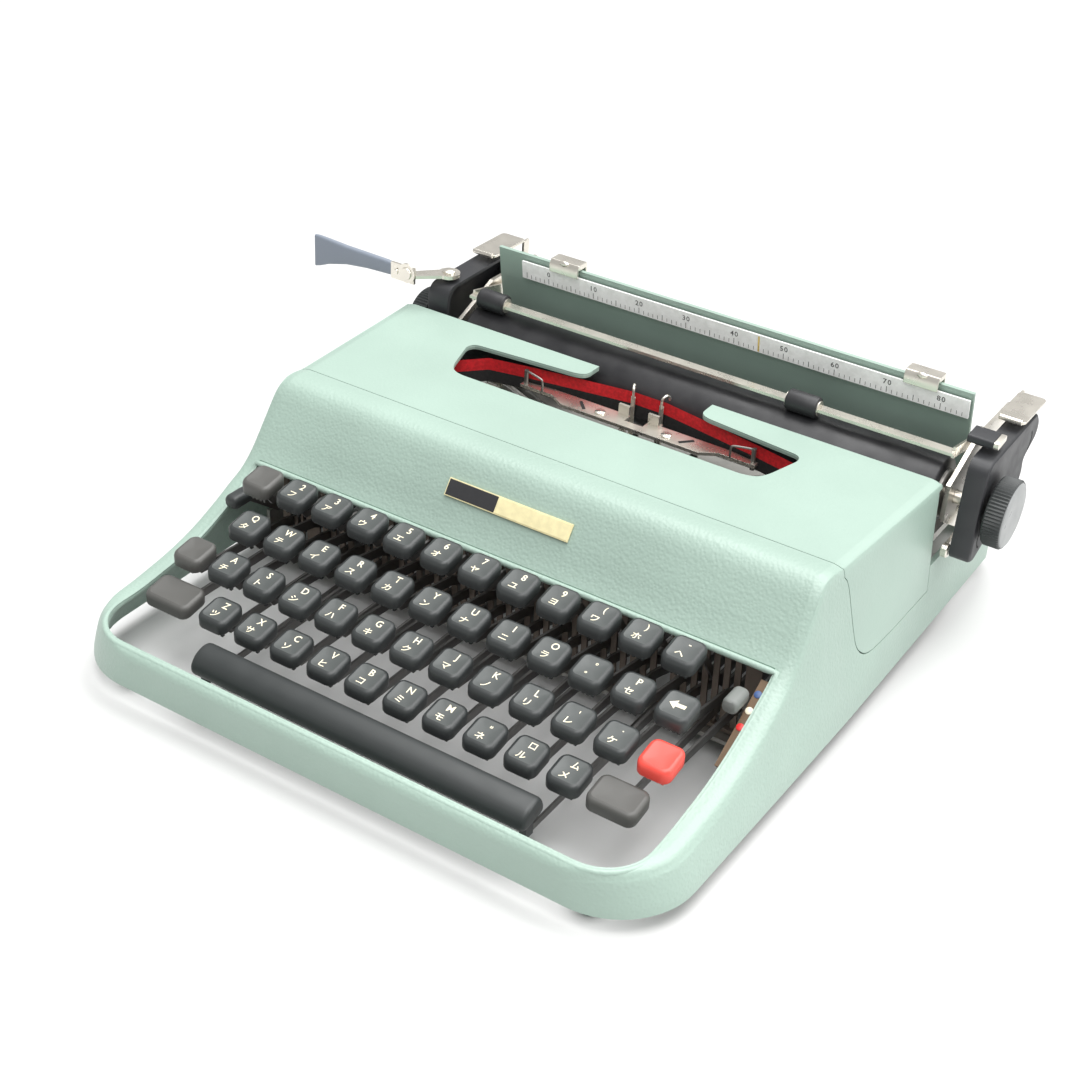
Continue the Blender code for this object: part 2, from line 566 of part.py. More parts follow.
def make_carriage(enamel, steel, bright, black, charcoal, ivory):
    parts = [box(END_X0, END_X1, 117.5, 130.5, 50.0, 60.0), box(END_X0, END_X1, 118.0, 119.6, 59.0, 68.0)]
    plate = [(84.0, 62.0), (104.0, 50.0), (152.0, 50.0), (152.0, 92.0), (112.0, 92.0), (84.0, 80.0)]
    for x in (END_X0, END_X1 - PLATE_T):
        parts.append(prism(plate, "x", x, x + PLATE_T))
    parts.append(rod("x", 1.2, END_X0 + 1, END_X0 + 5.2, BAIL_PIVOT_Y, BAIL_PIVOT_Z, 10))
    parts.append(rod("x", 1.2, END_X1 - 5.2, END_X1 - 1, BAIL_PIVOT_Y, BAIL_PIVOT_Z, 10))
    parts.append(rod("x", 1.4, END_X0 - 4.0, END_X0 + 1, 149.0, 87.0, 10))
    parts.append(rod("x", 1.4, END_X1 - 1, END_X1 + 4.0, 149.0, 87.0, 10))
    parts.append(rod("x", 1.4, END_X1 - 1, END_X1 + 4.4, 124.0, 84.0, 10))
    parts.append(rod("x", 1.4, END_X1 - 1, END_X1 + 4.4, 112.0, 56.0, 10))
    holes = [rod("x", 3.4, -200, 200, PLATEN_Y, PLATEN_Z, 16)]
    build("carriage_frame", steel, parts, holes, origin=(0, 124.0, 52.0))
    for name, x0, x1, wall_x in (
        ("end_cover_left", -132.0, -119.5, -130.0), ("end_cover_right", 149.0, 158.5, 156.5),
    ):
        inner = shrunk(cover_outline(), 0.93, 112.0, 75.0)
        low, high = (wall_x, x1 + 1) if x0 < 0 else (x0 - 1, wall_x)
        cuts = [prism(inner, "x", low, high), rod("x", 3.5, x0 - 5, x1 + 5, PLATEN_Y, PLATEN_Z, 16)]
        outer = prism(cover_outline(), "x", x0, x1)
        build(name, charcoal, [outer], cuts)
    parts = [rod("x", PLATEN_R, PLATEN_X0, PLATEN_X1, PLATEN_Y, PLATEN_Z, 36)]
    parts.append(rod("x", 3.0, -132.8, 160.0, PLATEN_Y, PLATEN_Z, 14))
    build("platen", black, parts, origin=(0, PLATEN_Y, PLATEN_Z), smooth=35)
    for name, x0, x1 in (("platen_knob_left", -142.2, -133.1), ("platen_knob_right", 160.3, 169.5)):
        build(name, charcoal, [knob(x0, x1)], origin=((x0 + x1) / 2, PLATEN_Y, PLATEN_Z), smooth=35)
    arms = [box(END_X0 + 3.4, END_X1 - 3.4, BAIL_Y - 2.6, BAIL_Y + 2.6, BAIL_Z - 0.7, BAIL_Z + 0.7)]
    for x in (END_X0 + 3.4, END_X1 - 4.6):
        arms.append(beam((x + 0.6, BAIL_PIVOT_Y, BAIL_PIVOT_Z), (x + 0.6, BAIL_Y, BAIL_Z), 1.2, 5.0))
        arms.append(rod("x", 3.2, x, x + 1.2, BAIL_PIVOT_Y, BAIL_PIVOT_Z, 14))
    hole = rod("x", 1.5, -200, 200, BAIL_PIVOT_Y, BAIL_PIVOT_Z, 12)
    build("paper_bail", bright, arms, [hole], origin=(0, BAIL_PIVOT_Y, BAIL_PIVOT_Z))
    for name, x in (("bail_roller_left", -99.0), ("bail_roller_right", 68.0)):
        tube = rod("x", 5.0, x - 7.5, x + 7.5, BAIL_Y, BAIL_Z, 20)
        bore = rod("x", 3.1, x - 9, x + 9, BAIL_Y, BAIL_Z, 16)
        build(name, black, [tube], [bore], origin=(x, BAIL_Y, BAIL_Z), smooth=35)
    table = [(117.2, 68.3), (116.5, 80.0), (113.0, 97.0), (110.6, 111.5), (112.2, 111.8), (114.7, 97.3)]
    table += [(118.1, 80.2), (118.8, 68.3)]
    build("paper_table", enamel, [prism(table, "x", -109.4, 137.4)])
    scale = [(111.6, 99.5), (110.2, 108.5), (109.2, 108.4), (110.6, 99.3)]
    build("margin_scale", ivory, [prism(scale, "x", -95.0, 136.6)])
    for name, x0, x1 in (("margin_stop_left", -78.0, -62.0), ("margin_stop_right", 106.0, 122.0)):
        stop = [
            (107.2, 108.6), (107.0, 112.6), (108.4, 115.0), (115.6, 115.0), (117.4, 103.0),
            (116.2, 103.0), (114.6, 112.4), (108.5, 112.4), (108.4, 108.6),
        ]
        build(name, bright, [prism(stop, "x", x0, x1)], origin=((x0 + x1) / 2, 112.0, 112.0))
    make_levers(steel, bright, charcoal)


def knob(x0, x1):
    """A platen knob: a rim with finger flutes and a shallow dished face on both ends."""
    points = []
    for i in range(48):
        angle = math.radians(7.5 * i)
        radius = KNOB_R - (0.7 if i % 2 else 0.0)
        points.append((PLATEN_Y + radius * math.cos(angle), PLATEN_Z + radius * math.sin(angle)))
    return prism(points, "x", x0, x1)


def make_levers(steel, bright, charcoal):
    arm = [
        beam((-126.0, 92.0, 98.6), (-138.0, 80.0, 98.6), 8.0, 1.6),
        beam((-135.0, 82.0, 98.6), (-190.0, 79.0, 96.0), 6.0, 2.4),
        beam((-187.0, 79.2, 95.0), (-199.0, 78.4, 95.0), 3.4, 18.0),
        rod("z", 5.5, 97.7, 99.5, -126.0, 92.0, 20), rod("z", 2.4, 96.2, 98.0, -126.0, 92.0, 14),
    ]
    build("return_lever", bright, arm, origin=(-126.0, 92.0, 98.6))
    release = [
        rod("x", 3.6, 145.6, 147.0, 124.0, 84.0, 14),
        beam((146.3, 124.0, 84.0), (146.3, 100.0, 101.5), 1.4, 5.0),
        box(143.5, 150.0, 92.0, 102.5, 99.5, 101.5),
    ]
    bore = rod("x", 1.7, 140, 150, 124.0, 84.0, 12)
    build("paper_release_lever", charcoal, release, [bore], origin=(146.3, 124.0, 84.0))
    spacer = [
        rod("x", 3.4, 145.6, 147.0, 112.0, 56.0, 14),
        beam((146.3, 112.0, 56.0), (146.3, 84.0, 50.0), 1.4, 4.0),
        rod("x", 3.2, 145.4, 148.4, 83.0, 49.8, 16),
    ]
    bore = rod("x", 1.7, 140, 150, 112.0, 56.0, 12)
    build("line_space_lever", bright, spacer, [bore], origin=(146.3, 112.0, 56.0))
    for name, x0, x1, hub_x in (
        ("carriage_release_left", -132.0, -118.0, -118.2), ("carriage_release_right", 146.2, 159.0, 146.2),
    ):
        parts = [
            box(x0, x1, 119.0, 148.5, 99.3, 100.7),
            rod("x", 1.4, x0, x1, 119.2, 100.6, 10),
            box(x0 if x0 > 0 else x1 - 1.4, x0 + 1.4 if x0 > 0 else x1, 146.6, 151.4, 87.0, 100.0),
            rod("x", 3.4, x0 if x0 > 0 else x1 - 1.4, x0 + 1.4 if x0 > 0 else x1, 149.0, 87.0, 14),
        ]
        bore = rod("x", 1.7, x0 - 5, x1 + 5, 149.0, 87.0, 12)
        build(name, bright, parts, [bore], origin=(hub_x, 149.0, 87.0))


def make_drive(steel, bright):
    drum = [rod("y", 14.0, 135.0, 143.0, -90.0, 33.0, 28), rod("y", 2.0, 133.0, 147.6, -90.0, 33.0, 12)]
    build("mainspring_drum", steel, drum, origin=(-90.0, 139.0, 33.0), smooth=35)


def main():
    clear_scene()
    enamel = material("pale_green_enamel", (0.56, 0.70, 0.60), 0.45)
    steel = material("grey_steel", (0.32, 0.32, 0.33), 0.4, 0.9)
    dark = material("blackened_steel", (0.05, 0.05, 0.055), 0.4, 0.6)
    bright = material("nickel", (0.78, 0.76, 0.72), 0.25, 1.0)
    black = material("black_rubber", (0.02, 0.02, 0.022), 0.6)
    charcoal = material("charcoal_plastic", (0.035, 0.037, 0.04), 0.45)
    grey = material("grey_plastic", (0.16, 0.17, 0.18), 0.5)
    taupe = material("taupe_plastic", (0.13, 0.12, 0.115), 0.5)
    red = material("coral_plastic", (0.85, 0.1, 0.07), 0.4)
    brown = material("brown_paint", (0.2, 0.12, 0.06), 0.6)
    ivory = material("ivory_plastic", (0.75, 0.7, 0.55), 0.5)
    cloth = material("inked_ribbon", (0.35, 0.02, 0.02), 0.9)
    make_body(enamel, brown, ivory, black)
    make_chassis(steel, dark, bright)
    make_keys(charcoal, taupe, red)
    make_space_bar(charcoal)
    make_front_controls(charcoal, grey, bright, brown)
    make_basket(steel, bright, dark)
    make_ribbon(dark, cloth)
    make_drive(steel, bright)
    make_carriage(enamel, steel, bright, black, charcoal, ivory)


main()
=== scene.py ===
"""Looks for a portable typewriter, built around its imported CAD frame.

Shapes are given in millimetres from the middle of the keyboard at table height, as in the CAD,
and OFFSET moves them into the row frame. X runs to the typist's right, Y away from the typist.
"""

import math

import bmesh
import bpy
from mathutils import Matrix, Vector


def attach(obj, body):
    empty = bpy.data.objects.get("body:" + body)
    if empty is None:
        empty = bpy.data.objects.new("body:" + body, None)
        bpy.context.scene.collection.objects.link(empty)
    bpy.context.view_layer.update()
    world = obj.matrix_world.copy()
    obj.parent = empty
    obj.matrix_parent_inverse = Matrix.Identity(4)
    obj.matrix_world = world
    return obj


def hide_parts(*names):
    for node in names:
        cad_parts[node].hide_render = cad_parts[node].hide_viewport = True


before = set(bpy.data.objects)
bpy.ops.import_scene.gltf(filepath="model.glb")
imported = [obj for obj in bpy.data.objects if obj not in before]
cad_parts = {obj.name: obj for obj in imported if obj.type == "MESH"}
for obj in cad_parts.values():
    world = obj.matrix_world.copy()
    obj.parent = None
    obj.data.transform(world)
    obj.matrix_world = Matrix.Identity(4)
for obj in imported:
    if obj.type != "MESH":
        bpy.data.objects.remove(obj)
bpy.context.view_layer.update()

MM = 0.001
OFFSET = Vector((14.8, -3.5, 0.0))
CORNERS = ((-1, -1), (1, -1), (1, 1), (-1, 1))

# Camera: place in the row frame in metres, angles in degrees, lens on a 36 mm wide sensor
CAMERA_PLACE = (0.3514, -0.5711, 0.4584)
CAMERA_AZIMUTH, CAMERA_ELEVATION, CAMERA_ROLL = 31.314, 32.440, 3.470
CAMERA_LENS = 59.24

# Body, as in the CAD
WALL = 2.2
BASE_Z = 8.0
FRONT_Y, REAR_Y = -161.0, 168.0
CORNER_R, REAR_CORNER_R = 34.0, 14.0
FOLD_R = 5.0
REAR_TOP_Z = 44.0
WELL_HALF, WELL_FRONT, WELL_REAR = 129.0, -156.5, -47.0
TOP_LINE = (
    (-161.0, 27.2), (-125.0, 27.5), (-100.0, 31.0), (-84.0, 35.5), (-68.0, 42.5), (-56.0, 49.0),
    (-47.0, 54.0), (-27.0, 82.5), (-22.0, 85.5), (-16.0, 85.7), (-9.0, 84.5), (60.0, 84.0), (168.0, 84.0),
)
CREASE_LINE = (
    (-161.0, 137.0), (-100.0, 138.0), (-60.0, 137.5), (-23.0, 135.0), (79.0, 141.0), (168.0, 141.0),
)
BASE_LINE = ((-161.0, 142.5), (-60.0, 144.5), (0.0, 145.5), (168.0, 145.5))
SEAM = (
    (-9.0, 80.0), (-5.5, 74.0), (-0.5, 52.0), (3.0, 42.0), (10.0, 35.0), (20.0, 32.0), (38.0, 31.0),
    (76.0, 31.0),
)
WINDOW = (
    (-76, 31.0), (70, 31.0), (76, 33.0), (79, 38.0), (84, 57.0), (82, 61.0), (34, 66.0), (30, 68.5),
    (30, 95.0), (-30, 95.0), (-30, 68.5), (-34, 66.0), (-88, 61.0), (-90, 57.0), (-84, 38.0), (-81, 33.0),
)

# Keyboard, as in the CAD: (y, z, x of the first key) of each row
PITCH = 19.0
LEVER_STEP = PITCH / 4.0
ROWS = ((-67.7, 63.6, -90.25), (-88.0, 54.0, -99.75), (-106.8, 44.7, -95.0), (-123.6, 34.6, -85.5))
CAP_SIZE, CAP_SLOPE, DISH = 15.2, 0.18, 0.45
PIVOT_Y, PIVOT_Z = 40.0, 20.0
LEGENDS = (
    ("2フ", "3ア", "4ウ", "5エ", "6オ", "7ヤ", "8ユ", "9ヨ", "(ワ", ")ホ", "-ヘ"),
    ("Qタ", "Wテ", "Eイ", "Rス", "Tカ", "Yン", "Uナ", "Iニ", "Oラ", "°゜", "Pセ"),
    ("Aチ", "Sト", "Dシ", "Fハ", "Gキ", "Hク", "Jマ", "Kノ", "Lリ", "'レ", ".ケ"),
    ("Zツ", "Xサ", "Cソ", "Vヒ", "Bコ", "Nミ", "Mモ", "\"ネ", "ロル", "ムメ"),
)

# Carriage, as in the CAD
PLATEN_AXIS = (94.0, 70.5)
PLATEN_R, KNOB_R = 16.0, 15.7
COVER_MIDDLE = (112.0, 75.0)
COVER_OUTLINE = (
    (80.3, 50.0), (84.0, 46.5), (130.0, 63.0), (134.0, 70.0), (132.0, 78.0), (145.0, 85.0), (146.0, 91.0),
    (141.0, 97.0), (86.0, 95.5), (82.5, 92.0),
)
SCALE_LOW, SCALE_HIGH = Vector((0, 110.6, 99.3)), Vector((0, 109.2, 108.4))
CHARACTER = 2.54

# Typebars, as in the CAD
PRINT_Y, TYPE_COUNT, FAN_ANGLE = 77.5, 44, 86.0

# Paint and studio
GREEN = (0.330, 0.440, 0.378)
FLOOR_TONE, FLOOR_HALF = (0.62, 0.62, 0.615), 6.0
AMBIENT, SUN_POWER, SUN_SPREAD, SUN_WAY = 0.43, 3.7, 60.0, (-0.1, -0.4, -1.3)
LAMP_TARGET = (0.0, 0.0, 0.05)

# Finishes: (name, colour, roughness)
PLASTICS = (
    # The key-top plastic is the charcoal made about twice as light: painted light where the dished tops face
    # the lamps.
    ("charcoal", (0.032, 0.036, 0.036), 0.44), ("cap_top_painted_light", (0.064, 0.071, 0.069), 0.40),
    ("taupe", (0.085, 0.084, 0.078), 0.46), ("grey", (0.17, 0.18, 0.17), 0.5),
    ("coral", (0.80, 0.075, 0.055), 0.36), ("cover_black", (0.026, 0.027, 0.03), 0.46),
    # The knob-face grey stands in for the lamps reflected in satin black plastic: a painted reflection.
    ("blade_grey", (0.22, 0.25, 0.30), 0.4), ("knob_face_painted_reflection", (0.27, 0.28, 0.28), 0.32),
    # A near-black for screw slots, plate slots and cover slits: painted shade in recesses.
    ("painted_shade", (0.008, 0.008, 0.008), 0.8),
)
METALS = (
    ("nickel", (0.80, 0.76, 0.68), 0.27), ("bright_steel", (0.62, 0.61, 0.59), 0.28),
    ("dull_steel", (0.34, 0.33, 0.31), 0.42), ("bar_steel", (0.16, 0.155, 0.15), 0.36),
    ("black_steel", (0.045, 0.043, 0.042), 0.42), ("comb_steel", (0.20, 0.165, 0.14), 0.5),
)
PAINTS = (
    ("legend_cream", (0.87, 0.80, 0.60), 0.5), ("plate_black", (0.03, 0.03, 0.032), 0.4),
    ("plate_cream", (0.80, 0.72, 0.42), 0.4), ("scale_white", (0.97, 0.97, 0.95), 0.4),
    ("scale_ink", (0.10, 0.10, 0.10), 0.6), ("dot_red", (0.75, 0.03, 0.03), 0.4),
    ("dot_blue", (0.05, 0.10, 0.25), 0.4), ("dot_white", (0.85, 0.80, 0.62), 0.4),
    ("brown", (0.13, 0.075, 0.035), 0.55), ("scale_yellow", (0.85, 0.62, 0.20), 0.5),
)


# ---- materials


def feed(node, **values):
    """Sets a node's inputs, with _ in place of the spaces in their names."""
    for name, value in values.items():
        node.inputs[name.replace("_", " ")].default_value = value


def new_material(name, colour, roughness, metallic=0.0, coat=0.0):
    made = bpy.data.materials.new(name)
    made.use_nodes = True
    shader = made.node_tree.nodes["Principled BSDF"]
    feed(shader, Base_Color=(*colour, 1.0), Roughness=roughness, Metallic=metallic)
    feed(shader, Coat_Weight=coat, Coat_Roughness=0.25)
    made.diffuse_color = (*colour, 1.0)
    return made


def texture(made, kind, size, detail=2.0):
    """A procedural texture whose features are about size millimetres across."""
    nodes = made.node_tree.nodes
    coords = nodes.get("Coords") or nodes.new("ShaderNodeTexCoord")
    coords.name = "Coords"
    found = nodes.new(f"ShaderNodeTex{kind}")
    feed(found, Scale=1000.0 / size)
    if kind == "Noise":
        feed(found, Detail=detail)
    else:
        found.feature = "SMOOTH_F1"
        feed(found, Smoothness=0.8)
    made.node_tree.links.new(coords.outputs["Object"], found.inputs["Vector"])
    return found


def add_grain(made, layers):
    """Fine relief: (kind, size in mm, strength, depth in mm), from the coarsest to the finest."""
    nodes, links = made.node_tree.nodes, made.node_tree.links
    last = None
    for kind, size, strength, depth in layers:
        found = texture(made, kind, size)
        bump = nodes.new("ShaderNodeBump")
        feed(bump, Strength=strength, Distance=depth * MM)
        links.new(found.outputs[0], bump.inputs["Height"])
        if last is not None:
            links.new(last.outputs["Normal"], bump.inputs["Normal"])
        last = bump
    links.new(last.outputs["Normal"], nodes["Principled BSDF"].inputs["Normal"])


def add_mottle(made, dark, light, size, detail=3.0):
    """Slow variation of colour between two tones."""
    nodes, links = made.node_tree.nodes, made.node_tree.links
    found = texture(made, "Noise", size, detail)
    ramp = nodes.new("ShaderNodeValToRGB")
    for stop, position, tone in zip(ramp.color_ramp.elements, (0.35, 0.65), (dark, light)):
        stop.position = position
        stop.color = (*tone, 1.0)
    links.new(found.outputs[0], ramp.inputs["Fac"])
    links.new(ramp.outputs["Color"], nodes["Principled BSDF"].inputs["Base Color"])


def add_smudges(made, low, high, size):
    """Roughness that wanders between two values, as on a handled surface."""
    nodes, links = made.node_tree.nodes, made.node_tree.links
    found = texture(made, "Noise", size, 4.0)
    spread = nodes.new("ShaderNodeMapRange")
    feed(spread, From_Min=0.3, From_Max=0.7, To_Min=low, To_Max=high)
    links.new(found.outputs[0], spread.inputs["Value"])
    links.new(spread.outputs["Result"], nodes["Principled BSDF"].inputs["Roughness"])


def scaled(colour, factor):
    return tuple(min(1.0, c * factor) for c in colour)


def make_materials():
    made = {}

    def new(name, colour, rough, mottle=(), smudges=(), grain=(), **more):
        """mottle is (dark, light, size, detail), the first two as factors of the colour."""
        made[name] = new_material(name, colour, rough, **more)
        if mottle:
            dark, light, *rest = mottle
            add_mottle(made[name], scaled(colour, dark), scaled(colour, light), *rest)
        if smudges:
            add_smudges(made[name], *smudges)
        if grain:
            add_grain(made[name], grain)

    for name, strength in (("enamel", 0.55), ("enamel_smooth", 0.22)):
        grain = (("Voronoi", 1.35, strength, 0.3), ("Noise", 0.6, strength * 0.5, 0.1))
        new(name, GREEN, 0.42, (0.96, 1.03, 60.0), (0.38, 0.5, 35.0), grain, coat=0.15)
    new("green_paint", scaled(GREEN, 0.92), 0.45)
    add_mottle(made["green_paint"], scaled(GREEN, 0.88), scaled(GREEN, 0.95), 30.0)
    add_grain(made["green_paint"], (("Noise", 1.2, 0.2, 0.08),))
    new("rubber", (0.022, 0.022, 0.024), 0.42)
    add_mottle(made["rubber"], (0.018, 0.018, 0.02), (0.032, 0.032, 0.034), 12.0)
    add_smudges(made["rubber"], 0.34, 0.55, 15.0)
    add_grain(made["rubber"], (("Noise", 0.8, 0.2, 0.04),))
    for name, colour, rough in PLASTICS:
        new(name, colour, rough, (), (rough - 0.06, rough + 0.08, 8.0), (("Noise", 0.45, 0.25, 0.05),))
    for name, colour, rough in METALS:
        smudges, grain = (rough - 0.03, rough + 0.06, 9.0), (("Noise", 0.6, 0.15, 0.03),)
        new(name, colour, rough, (0.96, 1.02, 14.0, 2.0), smudges, grain, metallic=0.9)
    for name, colour, rough in PAINTS:
        new(name, colour, rough, (0.92, 1.04, 3.0))
    for name, colour in (("ribbon_red", (0.62, 0.012, 0.018)), ("ribbon_black", (0.018, 0.017, 0.017))):
        new(name, colour, 0.75, (0.8, 1.15, 1.5), grain=(("Noise", 0.25, 0.5, 0.05),))
    return made


MATERIALS = make_materials()


# ---- shapes


def linked(name, data):
    """A new object in the scene that holds data."""
    obj = bpy.data.objects.new(name, data)
    bpy.context.scene.collection.objects.link(obj)
    return obj


def mesh_object(name, bm):
    """The millimetre shapes in bm as an object in the row frame."""
    bmesh.ops.recalc_face_normals(bm, faces=bm.faces)
    bmesh.ops.translate(bm, vec=OFFSET, verts=bm.verts)
    bmesh.ops.scale(bm, vec=(MM, MM, MM), verts=bm.verts)
    mesh = bpy.data.meshes.new(name)
    bm.to_mesh(mesh)
    bm.free()
    return linked(name, mesh)


class Piece:
    """Collects shapes, in millimetres from the middle of the keyboard, into one mesh object."""

    def __init__(self):
        self.bm = bmesh.new()
        self.finishes = []

    def add(self, shape, finish):
        points, faces = shape
        if finish not in self.finishes:
            self.finishes.append(finish)
        index = self.finishes.index(finish)
        verts = [self.bm.verts.new(p) for p in points]
        for face in faces:
            made = self.bm.faces.new([verts[i] for i in face])
            made.material_index = index
        return self

    def finish(self, name, body, slot, replaces=(), bevel=0.0, sharp=38):
        obj = mesh_object(name, self.bm)
        for finish in self.finishes:
            obj.data.materials.append(MATERIALS[finish])
        shade(obj, sharp, bevel)
        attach(obj, body)
        if replaces:
            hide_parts(*replaces)
        return obj


def round_edges(obj, width):
    """A bevel, width in millimetres, wherever faces turn sharply."""
    rounding = obj.modifiers.new("rounding", "BEVEL")
    rounding.width = width * MM
    rounding.segments = 2
    rounding.limit_method = "ANGLE"
    rounding.angle_limit = math.radians(38)
    rounding.harden_normals = True


def shade(obj, sharp, bevel=0.0):
    """Smooth shading, with a crease wherever faces turn by more than sharp degrees."""
    obj.data.shade_smooth()
    obj.data.set_sharp_from_angle(angle=math.radians(sharp))
    if bevel:
        round_edges(obj, bevel)


def circle(radius, sides, cx=0.0, cy=0.0, start=0.0, end=360.0):
    """Points round a circle, or round an arc when end - start is under 360 degrees."""
    steps = sides if end - start >= 360.0 else sides - 1
    found = []
    for i in range(sides):
        angle = math.radians(start + (end - start) * i / steps)
        found.append((cx + radius * math.cos(angle), cy + radius * math.sin(angle)))
    return found


def rounded_rect(x0, x1, y0, y1, radius, steps=5):
    found = []
    for x, y, start in ((x1, y1, 0), (x0, y1, 90), (x0, y0, 180), (x1, y0, 270)):
        cx = x - radius if x == x1 else x + radius
        cy = y - radius if y == y1 else y + radius
        found += circle(radius, steps + 1, cx, cy, start, start + 90)
    return found


def rounded(points, reach, steps=4):
    """The closed polygon with each corner replaced by a curve that starts reach before it."""
    found = []
    count = len(points)
    for i in range(count):
        before, here, after = (Vector(points[(i + k) % count]) for k in (-1, 0, 1))
        first = here + (before - here).normalized() * min(reach, (before - here).length * 0.48)
        last = here + (after - here).normalized() * min(reach, (after - here).length * 0.48)
        for k in range(steps + 1):
            t = k / steps
            found.append(tuple(first * (1 - t) ** 2 + here * 2 * t * (1 - t) + last * t * t))
    return found


def loft(rings, capped=True, closed=False):
    """A skin over rings that hold the same number of points."""
    count = len(rings[0])
    points = [p for ring in rings for p in ring]
    faces = []
    spans = len(rings) if closed else len(rings) - 1
    for k in range(spans):
        near, far = k * count, (k + 1) % len(rings) * count
        for i in range(count):
            j = (i + 1) % count
            faces.append((near + i, near + j, far + j, far + i))
    if capped and not closed:
        faces.append(tuple(range(count)))
        faces.append(tuple(range((len(rings) - 1) * count, len(rings) * count)))
    return points, faces


def placed(axis, t, u, v):
    """The point at t along axis whose other two coordinates are u and v."""
    return {"x": (t, u, v), "y": (u, t, v), "z": (u, v, t)}[axis]


def swept(axis, outline, middle, steps):
    """A skin along axis: at each (place, scale) step, the outline scaled about middle."""
    cu, cv = middle
    rings = []
    for t, factor in steps:
        rings.append([placed(axis, t, cu + (u - cu) * factor, cv + (v - cv) * factor) for u, v in outline])
    return loft(rings)


def prism(points, axis, a, b):
    """Extrudes a closed polygon along axis. Points are (y, z), (x, z) or (x, y)."""
    return loft([[placed(axis, t, p[0], p[1]) for p in points] for t in (a, b)])


def box(x0, x1, y0, y1, z0, z1):
    x0, x1 = sorted((x0, x1))
    return prism([(x0, y0), (x1, y0), (x1, y1), (x0, y1)], "z", z0, z1)


def rod(axis, radius, a, b, c0, c1, sides=24):
    return prism(circle(radius, sides, c0, c1), axis, a, b)


def turned(axis, profile, c0, c1, sides=40, ripple=0.0, ripples=0):
    """A solid of revolution from (along, radius) pairs, with optional flutes where radius is full."""
    full = max(r for _, r in profile)
    count = sides if not ripples else ripples * 2
    rings = []
    for along, radius in profile:
        ring = []
        for i, (u, v) in enumerate(circle(1.0, count)):
            reach = radius - (ripple if ripples and i % 2 and radius > full - 0.01 else 0.0)
            ring.append(placed(axis, along, c0 + reach * u, c1 + reach * v))
        rings.append(ring)
    return loft(rings)


def beam(start, end, wide, deep, wide_end=None):
    """A bar with a rectangular section between two points; wide lies level, across the bar."""
    a, b = Vector(start), Vector(end)
    along = (b - a).normalized()
    side = along.cross(Vector((0, 0, 1)))
    if side.length < 1e-6:
        side = Vector((1, 0, 0))
    side.normalize()
    up = side.cross(along)
    rings = []
    for centre, width in ((a, wide), (b, wide if wide_end is None else wide_end)):
        rings.append([centre + side * s * width / 2 + up * u * deep / 2 for s, u in CORNERS])
    return loft(rings)


def tube(path, radius, sides=10, closed=False):
    """A round bar along a path of points."""
    spots = [Vector(p) for p in path]
    count = len(spots)
    rings = []
    normal = None
    for i, spot in enumerate(spots):
        if closed:
            along = spots[(i + 1) % count] - spots[i - 1]
        else:
            along = spots[min(i + 1, count - 1)] - spots[max(i - 1, 0)]
        along.normalize()
        if normal is None:
            normal = along.orthogonal().normalized()
        normal = (normal - along * normal.dot(along)).normalized()
        other = along.cross(normal)
        rings.append([spot + normal * u + other * v for u, v in circle(radius, sides)])
    return loft(rings, closed=closed)


def between(pairs, y):
    """Straight-line interpolation through (y, value) pairs."""
    if y <= pairs[0][0]:
        return pairs[0][1]
    for (y0, v0), (y1, v1) in zip(pairs, pairs[1:]):
        if y <= y1:
            return v0 + (v1 - v0) * (y - y0) / (y1 - y0)
    return pairs[-1][1]


def curve_through(points, steps):
    """A smooth curve through the points."""
    found = []
    spots = [Vector(p) for p in points]
    for i in range(len(spots) - 1):
        p0, p1 = spots[max(i - 1, 0)], spots[i]
        p2, p3 = spots[i + 1], spots[min(i + 2, len(spots) - 1)]
        for k in range(steps):
            t = k / steps
            a = p1 * 2 + (p2 - p0) * t
            b = (p0 * 2 - p1 * 5 + p2 * 4 - p3) * t * t
            c = (p1 * 3 - p0 - p2 * 3 + p3) * t * t * t
            found.append(tuple((a + b + c) * 0.5))
    found.append(tuple(spots[-1]))
    return found


# ---- body


def top_height(y):
    """Height of the body's upper surface, with its folds rounded."""
    reach = 2.6 if y > -36.0 else 6.0
    height = sum(between(TOP_LINE, y + reach * k / 4) for k in range(-4, 5)) / 9
    depth = y - FRONT_Y
    if depth < FOLD_R:
        height -= FOLD_R - math.sqrt(max(FOLD_R**2 - (FOLD_R - depth) ** 2, 0.0))
    return height


def corner_inset(y, front, rear):
    inset = 0.0
    for distance, radius in ((y - front, CORNER_R), (rear - y, REAR_CORNER_R)):
        if distance < radius:
            inset = max(inset, radius - math.sqrt(max(radius**2 - (radius - distance) ** 2, 0.0)))
    return inset


def body_section(y, gap):
    """The body's cross-section at y, from the left base over the top to the right base."""
    inset = corner_inset(y, FRONT_Y + gap, REAR_Y - gap) + gap
    top = top_height(y) - gap
    crease = between(CREASE_LINE, y) - inset
    base = between(BASE_LINE, y) - inset
    rise = top - BASE_Z
    half = [
        (base, BASE_Z), (base - 0.15 * (base - crease), BASE_Z + 0.25 * rise),
        (crease + 0.34 * (base - crease), BASE_Z + 0.72 * rise), (crease + 0.6, top - 3.2),
        (crease - 1.3, top - 0.85), (crease - 4.8, top),
    ]
    half = curve_through(half, 4)
    edge = half[-1][0]
    half += [(edge * k / 4, top) for k in (3, 2, 1)]
    left = [(-x, z) for x, z in half]
    return left + [(0.0, top)] + half[::-1]


def body_stations():
    """Values of y, closest together at the folds and round the corners."""
    found = [FRONT_Y + CORNER_R * (1 - math.cos(math.radians(a))) for a in range(0, 91, 6)]
    y = FRONT_Y + CORNER_R
    while y < REAR_Y - REAR_CORNER_R - 7.0:
        y += 6.0 if y > 0.0 else 0.9 if y > -36.0 else 2.5
        found.append(y)
    found += [REAR_Y - REAR_CORNER_R * (1 - math.cos(math.radians(a))) for a in range(84, -1, -12)]
    return found


